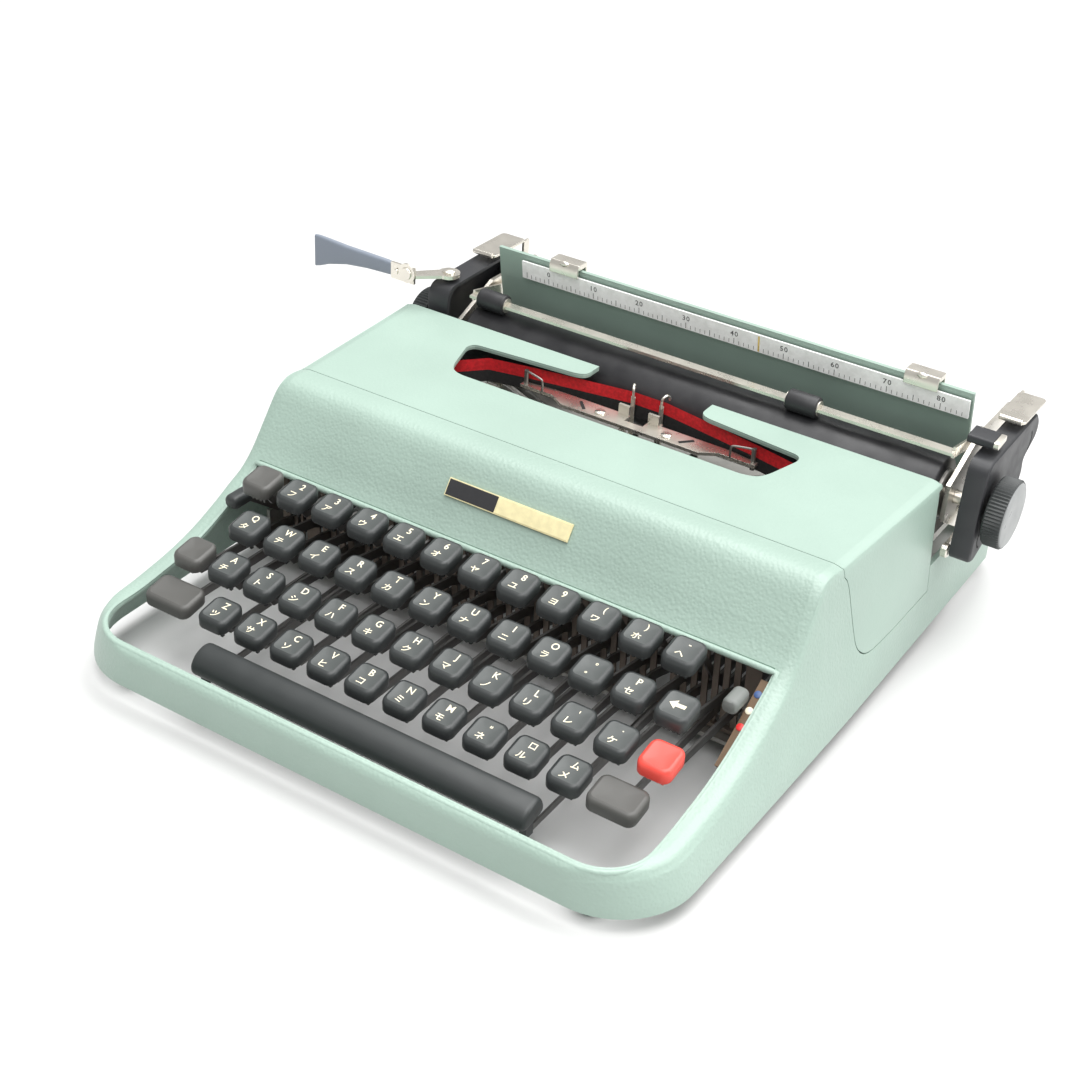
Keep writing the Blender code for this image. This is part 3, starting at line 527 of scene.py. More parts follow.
def body_hull():
    """The thin, open-bottomed shell that the body and its cover are both cut from."""
    stations = body_stations()
    skins = []
    for gap in (0.0, WALL):
        front, rear = FRONT_Y + gap, REAR_Y - gap
        span = (rear - front) / (REAR_Y - FRONT_Y)
        places = [front + (station - FRONT_Y) * span for station in stations]
        skins.append([[(x, y, z) for x, z in body_section(y, gap)] for y in places])
    count = len(skins[0][0])
    length = len(stations)
    points = [p for rings in skins for ring in rings for p in ring]
    faces = []
    for skin in (0, 1):
        base = skin * length * count
        for k in range(length - 1):
            for i in range(count - 1):
                a = base + k * count + i
                faces.append((a, a + 1, a + count + 1, a + count))
        for start in (base, base + (length - 1) * count):
            faces.append(tuple(range(start, start + count)))
    second = length * count
    for end in (0, count - 1):
        for k in range(length - 1):
            a, b = k * count + end, (k + 1) * count + end
            faces.append((a, b, second + b, second + a))
    for ring in (0, length - 1):
        a, b = ring * count, ring * count + count - 1
        faces.append((a, b, second + b, second + a))
    return points, faces


def cut_shell(name, cutters, finish, body, replaced):
    """The hull with the cutters taken away, as a smooth piece."""
    shell = mesh_object(name, Piece().add(body_hull(), finish).bm)
    helpers = [mesh_object("cutter", Piece().add(shape, finish).bm) for shape in cutters]
    for helper in helpers:
        cut = shell.modifiers.new("cut", "BOOLEAN")
        cut.operation = "DIFFERENCE"
        cut.solver = "EXACT"
        cut.object = helper
    graph = bpy.context.evaluated_depsgraph_get()
    mesh = bpy.data.meshes.new_from_object(shell.evaluated_get(graph))
    shell.modifiers.clear()
    shell.data = mesh
    for helper in helpers:
        bpy.data.objects.remove(helper, do_unlink=True)
    mesh.materials.clear()
    mesh.materials.append(MATERIALS[finish])
    shade(shell, 30)
    weights = shell.modifiers.new("weights", "WEIGHTED_NORMAL")
    weights.keep_sharp = True
    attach(shell, body)
    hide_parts(replaced)


def well_outline(grow=0.0):
    front = circle(20.0 + grow, 12, -WELL_HALF + 20.0, WELL_FRONT + 20.0, 180, 270)
    front += circle(20.0 + grow, 12, WELL_HALF - 20.0, WELL_FRONT + 20.0, 270, 360)
    return front + [(WELL_HALF + grow, WELL_REAR), (-WELL_HALF - grow, WELL_REAR)]


def along(points, spacing):
    """The same line with points no further apart than spacing."""
    found = []
    for a, b in zip(points, points[1:]):
        a, b = Vector(a), Vector(b)
        steps = max(1, math.ceil((b - a).length / spacing))
        found += [tuple(a.lerp(b, k / steps)) for k in range(steps)]
    return found + [tuple(points[-1])]


def make_body():
    seam = curve_through(SEAM[:-1], 4) + [SEAM[-1]]
    above = [(-9.0, 130.0), *seam, (76.0, REAR_TOP_Z), (200.0, REAR_TOP_Z), (200.0, 130.0)]
    well = well_outline()
    cut_shell(
        "body_skin", [prism(above, "x", -170, 170), prism(well, "z", 12.0, 60.0)],
        "enamel", "machine", "body_shell",
    )
    gap = 0.4
    edge = []
    for y, z in seam[:-1]:
        edge.append((y + gap * (0.2 if y > 15 else 1.0), z + gap * (1.0 if y > 5 else 0.3)))
    edge += [(75.6, 31.0 + gap), (75.6, 80.8), (78.6, 81.2), (78.6, 130.0)]
    outside = [(-9.0 + gap, 130.0), *edge, (200.0, 130.0), (200.0, -50.0), (-200.0, -50.0), (-200.0, 130.0)]
    window = rounded(WINDOW, 3.0)
    cut_shell(
        "cover_skin", [prism(window, "z", 60, 120), prism(outside, "x", -170, 170)],
        "enamel_smooth", "cover", "top_cover",
    )
    rim = along(well_outline(1.25) + well_outline(1.25)[:1], 3.0)[:-1]
    lip = Piece()
    path = [(x, min(y, WELL_REAR - 1.2), top_height(y) - 1.35) for x, y in rim]
    lip.add(tube(path, 1.4, 12, closed=True), "enamel")
    lip.finish("well_rim", "machine", "pale_green_enamel", sharp=80)
    grown = []
    count = len(window)
    for i in range(count):
        before, here, after = (Vector(window[(i + k) % count]) for k in (-1, 0, 1))
        normal = (after - before).normalized()
        grown.append(here + Vector((normal.y, -normal.x)) * 1.0)
    start = next(i for i in range(count) if grown[i].x < 0 and grown[i].y > 90)
    ring = [grown[(start + k) % count] for k in range(count)]
    ring = [p for p in ring if p.y < 77.5]
    line = [(-132.0, 77.6), (-31.2, 77.6), *[tuple(p) for p in ring], (31.2, 77.6), (132.0, 77.6)]
    edge = Piece()
    edge.add(tube([(x, y, top_height(y) - 1.12) for x, y in along(line, 3.0)], 1.15, 10), "enamel_smooth")
    edge.finish("cover_rim", "cover", "pale_green_enamel", sharp=80)


# ---- keys


def dish_height(px, py):
    """How far the dished face of a key lies from its rim, at a point from its middle."""
    reach = CAP_SIZE / 2 - 2.0
    t = min(1.0, ((px / reach) ** 4 + (py / reach) ** 4) ** 0.25)
    return -DISH * (1 - t * t)


def key_cap(x, y, z, wide=CAP_SIZE):
    """(rim, face): the moulded sides and shoulder of a key, and its dished face."""
    half_x, half_y = wide / 2, CAP_SIZE / 2
    rings = []
    for level, inset in (
        (-6.0, 0.9), (-5.8, 0.5), (-5.3, 0.25), (-2.0, 0.2), (-1.2, 0.35), (-0.6, 0.7), (-0.2, 1.25),
        (0.0, 2.0),
    ):
        outline = rounded_rect(inset - half_x, half_x - inset, inset - half_y, half_y - inset, 3.9 - inset)
        rings.append([(x + px, y + py, z + level + CAP_SLOPE * py) for px, py in outline])
    points, faces = loft(rings, capped=False)
    faces.append(tuple(range(len(rings[0]))))
    face_rings = [rings[-1]]
    outline = rounded_rect(2 - half_x, half_x - 2, 2 - half_y, half_y - 2, 1.9)
    for t in (0.8, 0.6, 0.4, 0.2):
        floor = z - DISH * (1 - t * t)
        face_rings.append([(x + px * t, y + py * t, floor + CAP_SLOPE * py * t) for px, py in outline])
    top_points, top_faces = loft(face_rings, capped=False)
    count = len(face_rings[0])
    last = len(top_points) - count
    top_faces.append(tuple(range(last, last + count)))
    return (points, faces), (top_points, top_faces)


def shank(x, y, z):
    """The narrower moulding under a key, with the ribs that grip its lever."""
    rings = []
    for level, half in ((-5.7, 4.4), (-9.0, 3.7)):
        outline = rounded_rect(-half, half, -3.6, 3.6, 1.0, 2)
        rings.append([(x + px, y + 0.6 + py, z + level) for px, py in outline])
    shapes = [loft(rings)]
    for k in range(4):
        px = x - 3.1 + k * 6.2 / 3
        shapes.append(box(px - 0.55, px + 0.55, y - 3.4, y - 2.0, z - 10.6, z - 6.0))
        shapes.append(box(px - 0.55, px + 0.55, y + 3.0, y + 4.6, z - 10.2, z - 6.0))
    return shapes


def lever(x, y, z):
    """The flat steel lever from the pivot, through the comb and up into the key."""
    rise = max(22.0, z - 14.0)
    bend = (-46.0, 0.35 * PIVOT_Z + 0.65 * rise) if y < -70 else (-50.0, rise)
    middle = [(PIVOT_Y - 3.0, PIVOT_Z), (-24.0, PIVOT_Z), (-38.0, 0.55 * PIVOT_Z + 0.45 * rise)]
    middle += [bend, (y + 5.0, rise), (y + 1.5, z - 8.4)]
    rings = []
    for spot, (cy, cz) in enumerate(middle[:-1]):
        half = 2.4 if spot < 4 else 2.0
        rings.append([(x + s * 0.6, cy, cz + u * half) for s, u in CORNERS])
    end_y, end_z = middle[-1]
    rings.append([(x + s * 0.6, end_y + u * 2.4, end_z) for s, u in CORNERS])
    return loft(rings)


def glyph(character, height):
    """One character as flat faces, centred, with its capital height given in millimetres."""
    curve = bpy.data.curves.new("glyph", "FONT")
    curve.body = character
    curve.size = 1.0
    curve.offset = 0.012
    curve.resolution_u = 3
    text = linked("glyph", curve)
    graph = bpy.context.evaluated_depsgraph_get()
    mesh = bpy.data.meshes.new_from_object(text.evaluated_get(graph))
    points = [v.co.copy() for v in mesh.vertices]
    faces = [tuple(p.vertices) for p in mesh.polygons]
    bpy.data.objects.remove(text, do_unlink=True)
    bpy.data.meshes.remove(mesh)
    middle = Vector([(min(values) + max(values)) / 2 for values in zip(*points)])
    return [(p - middle) * height / 0.72 for p in points], faces


def legend(character, height, x, y, z, px, py):
    """A character printed on the dished face of a key, at (px, py) from its middle."""
    flat, faces = glyph(character, height)
    flat = [(px + p.x, py + p.y) for p in flat]
    return [(x + u, y + v, z + 0.05 + dish_height(u, v) + CAP_SLOPE * v) for u, v in flat], faces


def hub(x0, x1):
    return rod("x", 4.0, x0, x1, PIVOT_Y, PIVOT_Z, 20)


def add_key(piece, x, y, z, finish, face, lever_x=None, **size):
    sides, top = key_cap(x, y, z, **size)
    piece.add(sides, finish)
    piece.add(top, face)
    lever_x = x if lever_x is None else lever_x
    for shape in shank(lever_x if abs(lever_x - x) > 1.0 else x, y, z):
        piece.add(shape, finish)
    piece.add(lever(lever_x, y, z), "bar_steel")


def make_keys():
    for k in range(11):
        piece, marks = Piece(), Piece()
        end = -84.3 if k < 10 else -89.0
        piece.add(hub(-101.0 + PITCH * k, end + PITCH * k), "dull_steel")
        for row, (y, z, first) in enumerate(ROWS):
            if k >= len(LEGENDS[row]):
                continue
            x = first + PITCH * k
            # Charcoal keys take the lighter key-top material on their dished faces: painted light on the
            # tops.
            add_key(piece, x, y, z, "charcoal", "cap_top_painted_light")
            upper, lower = LEGENDS[row][k]
            high = 3.2 if upper.isalnum() and upper.isascii() else 2.9
            marks.add(legend(upper, high, x, y, z, 0.8, 2.9), "legend_cream")
            marks.add(legend(lower, 3.1, x, y, z, -0.8, -2.7), "legend_cream")
        name = f"key_column_{k + 1:02d}"
        piece.finish(f"keys_{k + 1:02d}", name, "charcoal_plastic", (name,), sharp=45)
        marks.finish(f"legends_{k + 1:02d}", name, "ivory_plastic", sharp=80)
    for name, x, row, lower, lever_x, finish, size in (
        ("margin_release_key", -109.25, 0, 0.0, -109.25, "taupe", {}),
        ("backspace_key", 109.25, 1, 0.0, 109.25, "charcoal", {}),
        ("shift_lock_key", -114.0, 2, 0.0, -116.4, "taupe", {}),
        ("tab_key", 114.0, 2, 0.0, 114.0, "coral", {}),
        ("shift_key_left", -110.5, 3, 1.0, -112.6, "taupe", {"wide": 24.0}),
        ("shift_key_right", 106.5, 3, 1.0, 104.5, "taupe", {"wide": 22.0}),
    ):
        y, z, _ = ROWS[row]
        piece = Piece()
        piece.add(hub(lever_x - 1.4, lever_x + 1.4), "dull_steel")
        # Only charcoal keys get a separate, lighter face material: painted light on the tops.
        face = finish if finish != "charcoal" else "cap_top_painted_light"
        add_key(piece, x, y, z - lower, finish, face, lever_x, **size)
        piece.finish(name + "_top", name, finish + "_plastic", (name,), sharp=45)
    x, (y, z, _) = 109.25, ROWS[1]
    arrow = Piece()
    points = []
    outline = ((-3.6, 0.0), (-0.6, 2.3), (-0.6, 0.9), (3.4, 0.9), (3.4, -0.9), (-0.6, -0.9), (-0.6, -2.3))
    for px, py in outline:
        height = z + 0.1 + dish_height(px, py) + CAP_SLOPE * py
        points.append((x + px, y + py, height))
    arrow.add((points, [(0, 1, 2, 5, 6), (2, 3, 4, 5)]), "legend_cream")
    arrow.finish("backspace_arrow", "backspace_key", "ivory_plastic", sharp=80)


def make_space_bar():
    profile = [(-147.7, 17.5), (-133.2, 19.5), (-132.8, 23.0), (-135.2, 27.2), (-138.7, 28.0)]
    profile = rounded(profile + [(-144.2, 26.4), (-148.0, 22.0)], 2.6, 4)
    ends = ((-81.5, 0.72), (-81.2, 0.86), (-80.5, 0.95), (-79.3, 1.0))
    steps = ends + tuple((-x, factor) for x, factor in ends[::-1])
    piece = Piece()
    piece.add(swept("x", profile, (-140.5, 22.5), steps), "charcoal")
    for x in (-78.375, 78.375):
        piece.add(box(x - 0.5, x + 0.5, -142.0, -44.0, 10.7, 13.7), "bar_steel")
        piece.add(box(x - 1.5, x + 1.5, -143.0, -138.0, 11.0, 20.0), "charcoal")
    piece.finish("space_bar_top", "space_bar", "charcoal_plastic", ("space_bar",), sharp=45)


def make_nameplate():
    """A blank two-tone plate: a black field and a cream field in a thin frame."""
    slope = Vector((0, 20.0, 28.5)).normalized()
    out = Vector((0, -28.5, 20.0)).normalized()
    base = Vector((0, -37.4, 67.7)) + out * 0.35

    def slab(x0, x1, low, high, start, depth):
        corners = ((x0, low), (x1, low), (x1, high), (x0, high))
        rings = []
        for d in (start, start + depth):
            rings.append([base + out * d + slope * up + Vector((x, 0, 0)) for x, up in corners])
        return loft(rings)

    piece = Piece()
    piece.add(slab(-34.5, 27.5, 0.0, 8.0, 0.0, 0.75), "plate_cream")
    piece.add(slab(-34.0, -9.2, 0.5, 7.5, 0.6, 0.35), "plate_black")
    piece.add(slab(-8.6, 27.0, 0.5, 7.5, 0.6, 0.35), "plate_cream")
    piece.finish("plate_two_tone", "machine", "ivory_plastic", ("nameplate",), bevel=0.12)


def make_comb():
    """Slanting steel strips with a dark gap for every key lever."""
    slots = sorted([-116.4, -112.6, -109.25, -78.375, 78.375] + [-99.75 + LEVER_STEP * i for i in range(46)])
    piece = Piece()
    edges = [-122.0]
    for x in slots:
        edges += [x - 0.95, x + 0.95]
    edges.append(122.0)
    for k in range(0, len(edges), 2):
        x0, x1 = edges[k], edges[k + 1]
        if x1 - x0 > 0.6:
            side = [(-42.4, 52.0), (-41.2, 52.0), (-38.6, 12.0), (-39.8, 12.0)]
            piece.add(prism(side, "x", x0, x1), "comb_steel")
    piece.add(box(-122.0, 122.0, -41.6, -38.4, 10.7, 12.6), "comb_steel")
    piece.add(box(-122.0, 122.0, -43.2, -41.6, 50.2, 51.6), "comb_steel")
    piece.finish("comb_strips", "machine", "blackened_steel", ("key_comb",), bevel=0.2)


def make_front_controls():
    for name, node, side, start, end, reach, outline, middle, steps, finish in (
        (
            "color_selector", "ribbon_color_lever", 1, 122.3, 126.4, (-62.0, 46.0),
            rounded_rect(118.5, 125.2, 44.0, 50.5, 2.4), (121.9, 47.2),
            ((-70.0, 0.75), (-69.4, 0.92), (-68.4, 1.0), (-60.0, 1.0), (-59.0, 0.9), (-58.5, 0.75)), "grey",
        ),
        (
            "tab_lever", "tab_set_lever", -1, -126.4, -122.3, (-64.0, 48.0),
            rounded_rect(-127.0, -119.5, 44.6, 50.8, 2.6), (-123.2, 47.7),
            ((-74.0, 0.7), (-73.3, 0.9), (-72.2, 1.0), (-64.0, 1.0), (-62.6, 0.9), (-62.0, 0.75)), "charcoal",
        ),
    ):
        x = 124.2 * side
        piece = Piece()
        piece.add(beam((x, -40.0, 30.0), (x, *reach), 1.2, 5.0), "bar_steel")
        piece.add(rod("x", 1.5, start, end, -40.0, 30.0), "dull_steel")
        piece.add(swept("y", outline, middle, steps), finish)
        piece.finish(name, node, finish + "_plastic", (node,), sharp=45)
    along_plate = Vector((0, 34.0, 20.0)).normalized()
    across = Vector((0, -along_plate.z, along_plate.y))
    start = Vector((127.1, -84.0, 30.0))
    strip = Piece()
    strip.add(beam(start, start + along_plate * 39.4, 3.5, 0.8), "brown")
    for finish, travel in (("dot_blue", 33.0), ("dot_white", 25.5), ("dot_red", 18.0)):
        rings = []
        for radius, lift in ((1.6, 0.38), (1.6, 0.55), (1.3, 0.75)):
            middle = start + along_plate * travel + across * lift
            rings.append([middle + along_plate * v + Vector((u, 0, 0)) for u, v in circle(radius, 24)])
        strip.add(loft(rings), finish)
    strip.finish("color_dot_strip", "machine", "brown_paint", ("color_dot_plate",), sharp=40)


# ---- basket


def polar(radius, degrees):
    """A point (x, y) round the print point; 0 degrees lies towards the typist."""
    angle = math.radians(degrees)
    return radius * math.sin(angle), PRINT_Y - radius * math.cos(angle)


def make_basket():
    """The resting typebars, each a thin bar with its type slug."""
    step = 2 * FAN_ANGLE / TYPE_COUNT
    for name, side in (("typebar_fan_left", -1), ("typebar_fan_right", 1)):
        piece = Piece()
        ring = [polar(30.0, side * a) for a in range(17, 91, 4)]
        ring += [polar(22.0, side * a) for a in range(89, 16, -4)]
        piece.add(prism(ring, "z", 27.3, 32.0), "black_steel")
        for i in range(TYPE_COUNT // 2 - 4):
            angle = side * (FAN_ANGLE - step * i)
            top = 40.0 + 27.0 * (abs(angle) / FAN_ANGLE) ** 2
            reach = 72.0 + 8.0 * abs(angle) / FAN_ANGLE
            start = (*polar(26.0, angle), 30.5)
            elbow = (*polar(48.0, angle), 30.5 + (top - 30.5) * 0.62)
            end = (*polar(reach, angle), top)
            piece.add(beam(start, elbow, 1.1, 4.4), "bright_steel")
            piece.add(beam(elbow, end, 1.1, 3.2), "bright_steel")
            low = (*polar(reach - 3.4, angle), top + 0.6)
            far = (*polar(reach + 3.4, angle), top + 1.4)
            piece.add(beam(low, far, 2.4, 5.2), "nickel")
            mark = (*polar(reach - 2.6, angle), top + 3.6)
            tip = (*polar(reach + 2.6, angle), top + 4.4)
            piece.add(beam(mark, tip, 1.4, 1.0), "dull_steel")
        label = "type_bars_left" if side < 0 else "type_bars_right"
        piece.finish(label, "type_basket", "blackened_steel", (name,), bevel=0.15)


def screw(x, y, z, radius=2.6, turn=25.0):
    """(head, slot) of a slotted screw lying flat on z; the slot is a thin strip that takes a near-black
    finish, as painted shade.
    """
    head = turned("z", [(z, radius), (z + 0.5, radius), (z + 0.8, radius - 0.4)], x, y, 28)
    angle = math.radians(turn)
    reach = Vector((math.cos(angle), math.sin(angle), 0)) * (radius - 0.3)
    centre = Vector((x, y, z + 0.82))
    return head, beam(centre - reach, centre + reach, 0.55, 0.12)


def make_type_guide():
    """The bright plate at the print point, its fork and the posts that lead the ribbon."""
    piece = Piece()
    half = [(36.0, 56.0), (44.0, 61.2), (62.0, 61.2), (62.0, 64.6), (46.0, 66.6), (4.8, 66.6), (4.8, 61.0)]
    outline = [(-36.0, 56.0), *half, *[(-x, y) for x, y in half[:0:-1]]]
    piece.add(prism(outline, "z", 70.0, 71.6), "nickel")
    for side in (-1, 1):
        piece.add(box(side * 8.0, side * 11.0, 67.6, 69.4, 11.5, 71.0), "nickel")
        piece.add(box(side * 5.0, side * 10.6, 65.2, 66.6, 71.0, 76.6), "nickel")
        piece.add(rod("z", 1.1, 68.0, 78.6, side * 60.0, 63.3), "dull_steel")
        loop = [(side * 60.0, 63.3, 78.0), (side * 57.6, 62.4, 78.3), (side * 51.0, 61.2, 77.6)]
        loop += [(side * 49.8, 61.0, 76.4), (side * 49.6, 61.2, 71.4)]
        piece.add(tube(curve_through(loop, 4), 0.55, 8), "dull_steel")
        head, slot = screw(side * 17.5, 60.6, 71.6)
        # The screw slot gets the near-black finish: painted shade.
        piece.add(head, "nickel").add(slot, "painted_shade")
        # A thin near-black strip on the plate: painted shade for a slot.
        piece.add(beam((side * 25.0, 58.5, 71.75), (side * 30.0, 64.0, 71.75), 1.5, 0.2), "painted_shade")
    piece.add(box(-11.0, 11.0, 62.3, 69.4, 11.0, 13.6), "dull_steel")
    piece.finish("guide_plate", "machine", "nickel", ("type_guide",), bevel=0.2)


def make_vibrator():
    """The two hooks that lift the ribbon, with the forked card holder between them."""
    piece = Piece()
    for side in (-1, 1):
        piece.add(box(side * 6.4, side * 8.6, 72.6, 73.3, 50.0, 78.0), "nickel")
        hook = [(side * 7.5, 72.9, 76.5), (side * 7.5, 72.7, 80.2), (side * 7.9, 73.2, 82.0)]
        hook += [(side * 8.6, 74.8, 82.8), (side * 9.2, 76.4, 81.8), (side * 9.3, 76.8, 80.2)]
        piece.add(tube(curve_through(hook, 5), 0.7, 10), "nickel")
    piece.add(box(-9.0, 9.0, 72.6, 73.4, 48.0, 53.0), "nickel")
    piece.finish("vibrator_hooks", "ribbon_vibrator", "nickel", ("ribbon_vibrator",), bevel=0.15)


RIBBON_PATH = (
    (-93.0, 46.5), (-80.0, 61.0), (-60.0, 65.5), (-9.0, 74.6), (9.0, 74.6), (60.0, 65.5), (80.0, 61.0),
    (93.0, 46.5),
)
RIBBON_LOW, RIBBON_MIDDLE, RIBBON_HIGH = 67.2, 73.2, 79.3


def make_ribbon():
    """One band of inked cloth, black below and red above."""
    path = along([(x, y, 0.0) for x, y in RIBBON_PATH], 4.0)
    piece = Piece()
    for low, high, finish in (
        (RIBBON_LOW, RIBBON_MIDDLE, "ribbon_black"), (RIBBON_MIDDLE, RIBBON_HIGH, "ribbon_red"),
    ):
        points, faces = [], []
        for k, (x, y, _) in enumerate(path):
            points += [(x, y + 0.17, low), (x, y + 0.17, high)]
            if k:
                faces.append((2 * k - 2, 2 * k, 2 * k + 1, 2 * k - 1))
        piece.add((points, faces), finish)
    bmesh.ops.remove_doubles(piece.bm, verts=piece.bm.verts, dist=0.001)
    made = piece.finish("ribbon_band", "machine", "inked_ribbon", ("ribbon",), sharp=60)


# ---- carriage


def make_platen():
    piece = Piece()
    ends = ((14.6, 0.0), (15.5, 0.6), (PLATEN_R, 1.4))
    profile = [(-109.0 + inset, radius) for radius, inset in ends]
    profile += [(137.0 - inset, radius) for radius, inset in ends[::-1]]
    piece.add(turned("x", profile, *PLATEN_AXIS, 96), "rubber")
    piece.add(rod("x", 3.0, -132.8, 160.0, *PLATEN_AXIS), "nickel")
    piece.add(turned("x", [(137.0, 11.0), (138.4, 11.0), (139.0, 10.4)], *PLATEN_AXIS, 48), "dull_steel")
    piece.finish("platen_roll", "platen_roller", "black_rubber", ("platen",), sharp=35)
    for name, inner, outer in (("platen_knob_left", -133.1, -142.2), ("platen_knob_right", 160.3, 169.5)):
        out = 1 if outer > inner else -1
        knob = Piece()
        rim = [(inner, KNOB_R - 2.0), (inner + out * 0.5, KNOB_R - 0.7), (inner + out * 1.2, KNOB_R)]
        rim += [(outer - out * 1.4, KNOB_R), (outer - out * 0.7, KNOB_R - 0.6)]
        rim.append((outer - out * 0.5, KNOB_R - 1.4))
        knob.add(turned("x", rim, *PLATEN_AXIS, ripple=0.55, ripples=62), "charcoal")
        face = [(outer - out * 0.6, KNOB_R - 1.1), (outer - out * 0.15, KNOB_R - 1.5)]
        face += [(outer, KNOB_R - 2.4), (outer - out * 0.1, 4.0), (outer - out * 0.15, 1.0)]
        # The light grey face is a painted reflection on the black plastic knob.
        knob.add(turned("x", face, *PLATEN_AXIS, 64), "knob_face_painted_reflection")
        collar = [(inner - out * 0.2, 7.0), (inner + out * 0.5, 7.0)]
        knob.add(turned("x", collar, *PLATEN_AXIS, 32), "charcoal")
        knob.finish(name + "_fluted", "platen_roller", "charcoal_plastic", (name,), sharp=30)


def make_bail():
    for name, x in (("bail_roller_left", -99.0), ("bail_roller_right", 68.0)):
        roller = Piece()
        ends = ((7.5, 4.2), (7.1, 4.8), (6.6, 5.0))
        outline = [(x - reach, radius) for reach, radius in ends]
        outline += [(x + reach, radius) for reach, radius in ends[::-1]]
        roller.add(turned("x", outline, 92.0, 91.7, ripple=0.18, ripples=28), "rubber")
        for a, b in ((x - 8.0, x - 7.4), (x + 7.4, x + 8.0)):
            roller.add(turned("x", [(a, 3.6), (b, 3.6)], 92.0, 91.7, 24), "nickel")
        roller.finish(name + "_ribbed", name, "black_rubber", (name,), sharp=30)


def make_end_covers():
    outline = rounded(COVER_OUTLINE, 3.0, 4)
    for name, inner, outer in (("end_cover_left", -119.5, -132.0), ("end_cover_right", 149.0, 158.5)):
        out = 1 if outer > inner else -1
        steps = (
            (outer - out * 2.0, 0.92), (inner, 0.93), (inner + out * 0.1, 1.0), (outer - out * 1.4, 1.0),
            (outer - out * 0.5, 0.988), (outer, 0.965),
        )
        piece = Piece()
        piece.add(swept("x", outline, COVER_MIDDLE, steps), "cover_black")
        a, b = sorted((outer - out * 0.2, outer + out * 0.05))
        # Near-black arcs on the outer face: painted shade for slits.
        for cy, cz, start, end in ((132.0, 86.0, -60.0, 40.0), (92.0, 57.5, 150.0, 250.0)):
            band = circle(6.0, 12, cy, cz, start, end) + circle(5.0, 12, cy, cz, start, end)[::-1]
            piece.add(prism(band, "x", a, b), "painted_shade")
        bush = [(outer - out * 0.3, 5.6), (outer + out * 0.7, 5.2)]
        piece.add(turned("x", bush[::out], *PLATEN_AXIS, 36), "nickel")
        piece.finish(name + "_case", "carriage", "charcoal_plastic", (name,), sharp=32)


def scale_place(mark):
    """x of a mark on the margin scale, which counts ten characters to the inch."""
    return -28.8 + CHARACTER * (mark - 20)


def make_scale():
    """The white margin strip with its ticks and numbers."""
    rise = (SCALE_HIGH - SCALE_LOW).normalized()
    out = Vector((0, -rise.z, rise.y))
    piece = Piece()
    strip = [(111.6, 99.5), (110.2, 108.5), (109.2, 108.4), (110.6, 99.3)]
    piece.add(prism(strip, "x", -95.0, 136.6), "scale_white")

    def on_face(x, up, lift=0.05):
        return SCALE_LOW + rise * up + out * lift + Vector((x, 0, 0))

    def stroke(x, bottom, top, wide, finish):
        corners = ((x - wide / 2, bottom), (x + wide / 2, bottom), (x + wide / 2, top), (x - wide / 2, top))
        piece.add(([on_face(a, b) for a, b in corners], [(0, 1, 2, 3)]), finish)

    for mark in range(-5, 86):
        x = scale_place(mark)
        if not -94.0 < x < 135.5:
            continue
        top, wide = (2.6, 0.22) if mark % 5 else (3.6, 0.3)
        stroke(x, 0.6, top, wide, "scale_ink")
        if mark % 10 == 0 and mark >= 0 and x < 126.0:
            text = str(mark)
            for k, digit in enumerate(text):
                flat, faces = glyph(digit, 2.6)
                shift = (k - (len(text) - 1) / 2) * 2.2
                piece.add(([on_face(x + shift + p.x, 6.0 + p.y, 0.06) for p in flat], faces), "scale_ink")
    stroke(scale_place(45), 0.4, 8.6, 0.9, "scale_yellow")
    piece.finish("scale_strip", "carriage", "ivory_plastic", ("margin_scale",), sharp=50)


def make_margin_stops():
    for name, x0, x1 in (("margin_stop_left", -78.0, -62.0), ("margin_stop_right", 106.0, 122.0)):
        piece = Piece()
        stop = [
            (107.2, 108.6), (107.0, 112.6), (108.4, 115.0), (115.6, 115.0), (117.4, 103.0),
            (116.2, 103.0), (114.6, 112.4), (108.5, 112.4), (108.4, 108.6),
        ]
        piece.add(prism(stop, "x", x0, x1), "nickel")
        middle = (x0 + x1) / 2
        grip = [(middle - 2.4, 0.8), (middle, 1.6), (middle + 2.4, 0.8)]
        piece.add(turned("x", grip, 108.0, 114.2, 16), "nickel")
        piece.finish(name + "_clip", name, "nickel", (name,), bevel=0.3)


def make_releases():
    """The two nickel tabs with rolled front edges that free the carriage."""
    for name, x0, x1 in (("carriage_release_left", -132.0, -118.0), ("carriage_release_right", 146.2, 159.0)):
        piece = Piece()
        sheet = rounded_rect(x0, x1, 119.6, 148.2, 2.2, 4)
        piece.add(prism(sheet, "z", 99.5, 100.7), "nickel")
        piece.add(rod("x", 1.3, x0 + 1.2, x1 - 1.2, 119.9, 100.5), "nickel")
        a, b = (x0, x0 + 1.4) if x0 > 0 else (x1 - 1.4, x1)
        piece.add(box(a, b, 146.6, 151.4, 87.0, 100.0), "nickel")
        piece.add(turned("x", [(a, 3.4), (b, 3.4)], 149.0, 87.0, 28), "nickel")
        piece.finish(name + "_tab", name, "nickel", (name,), bevel=0.25)


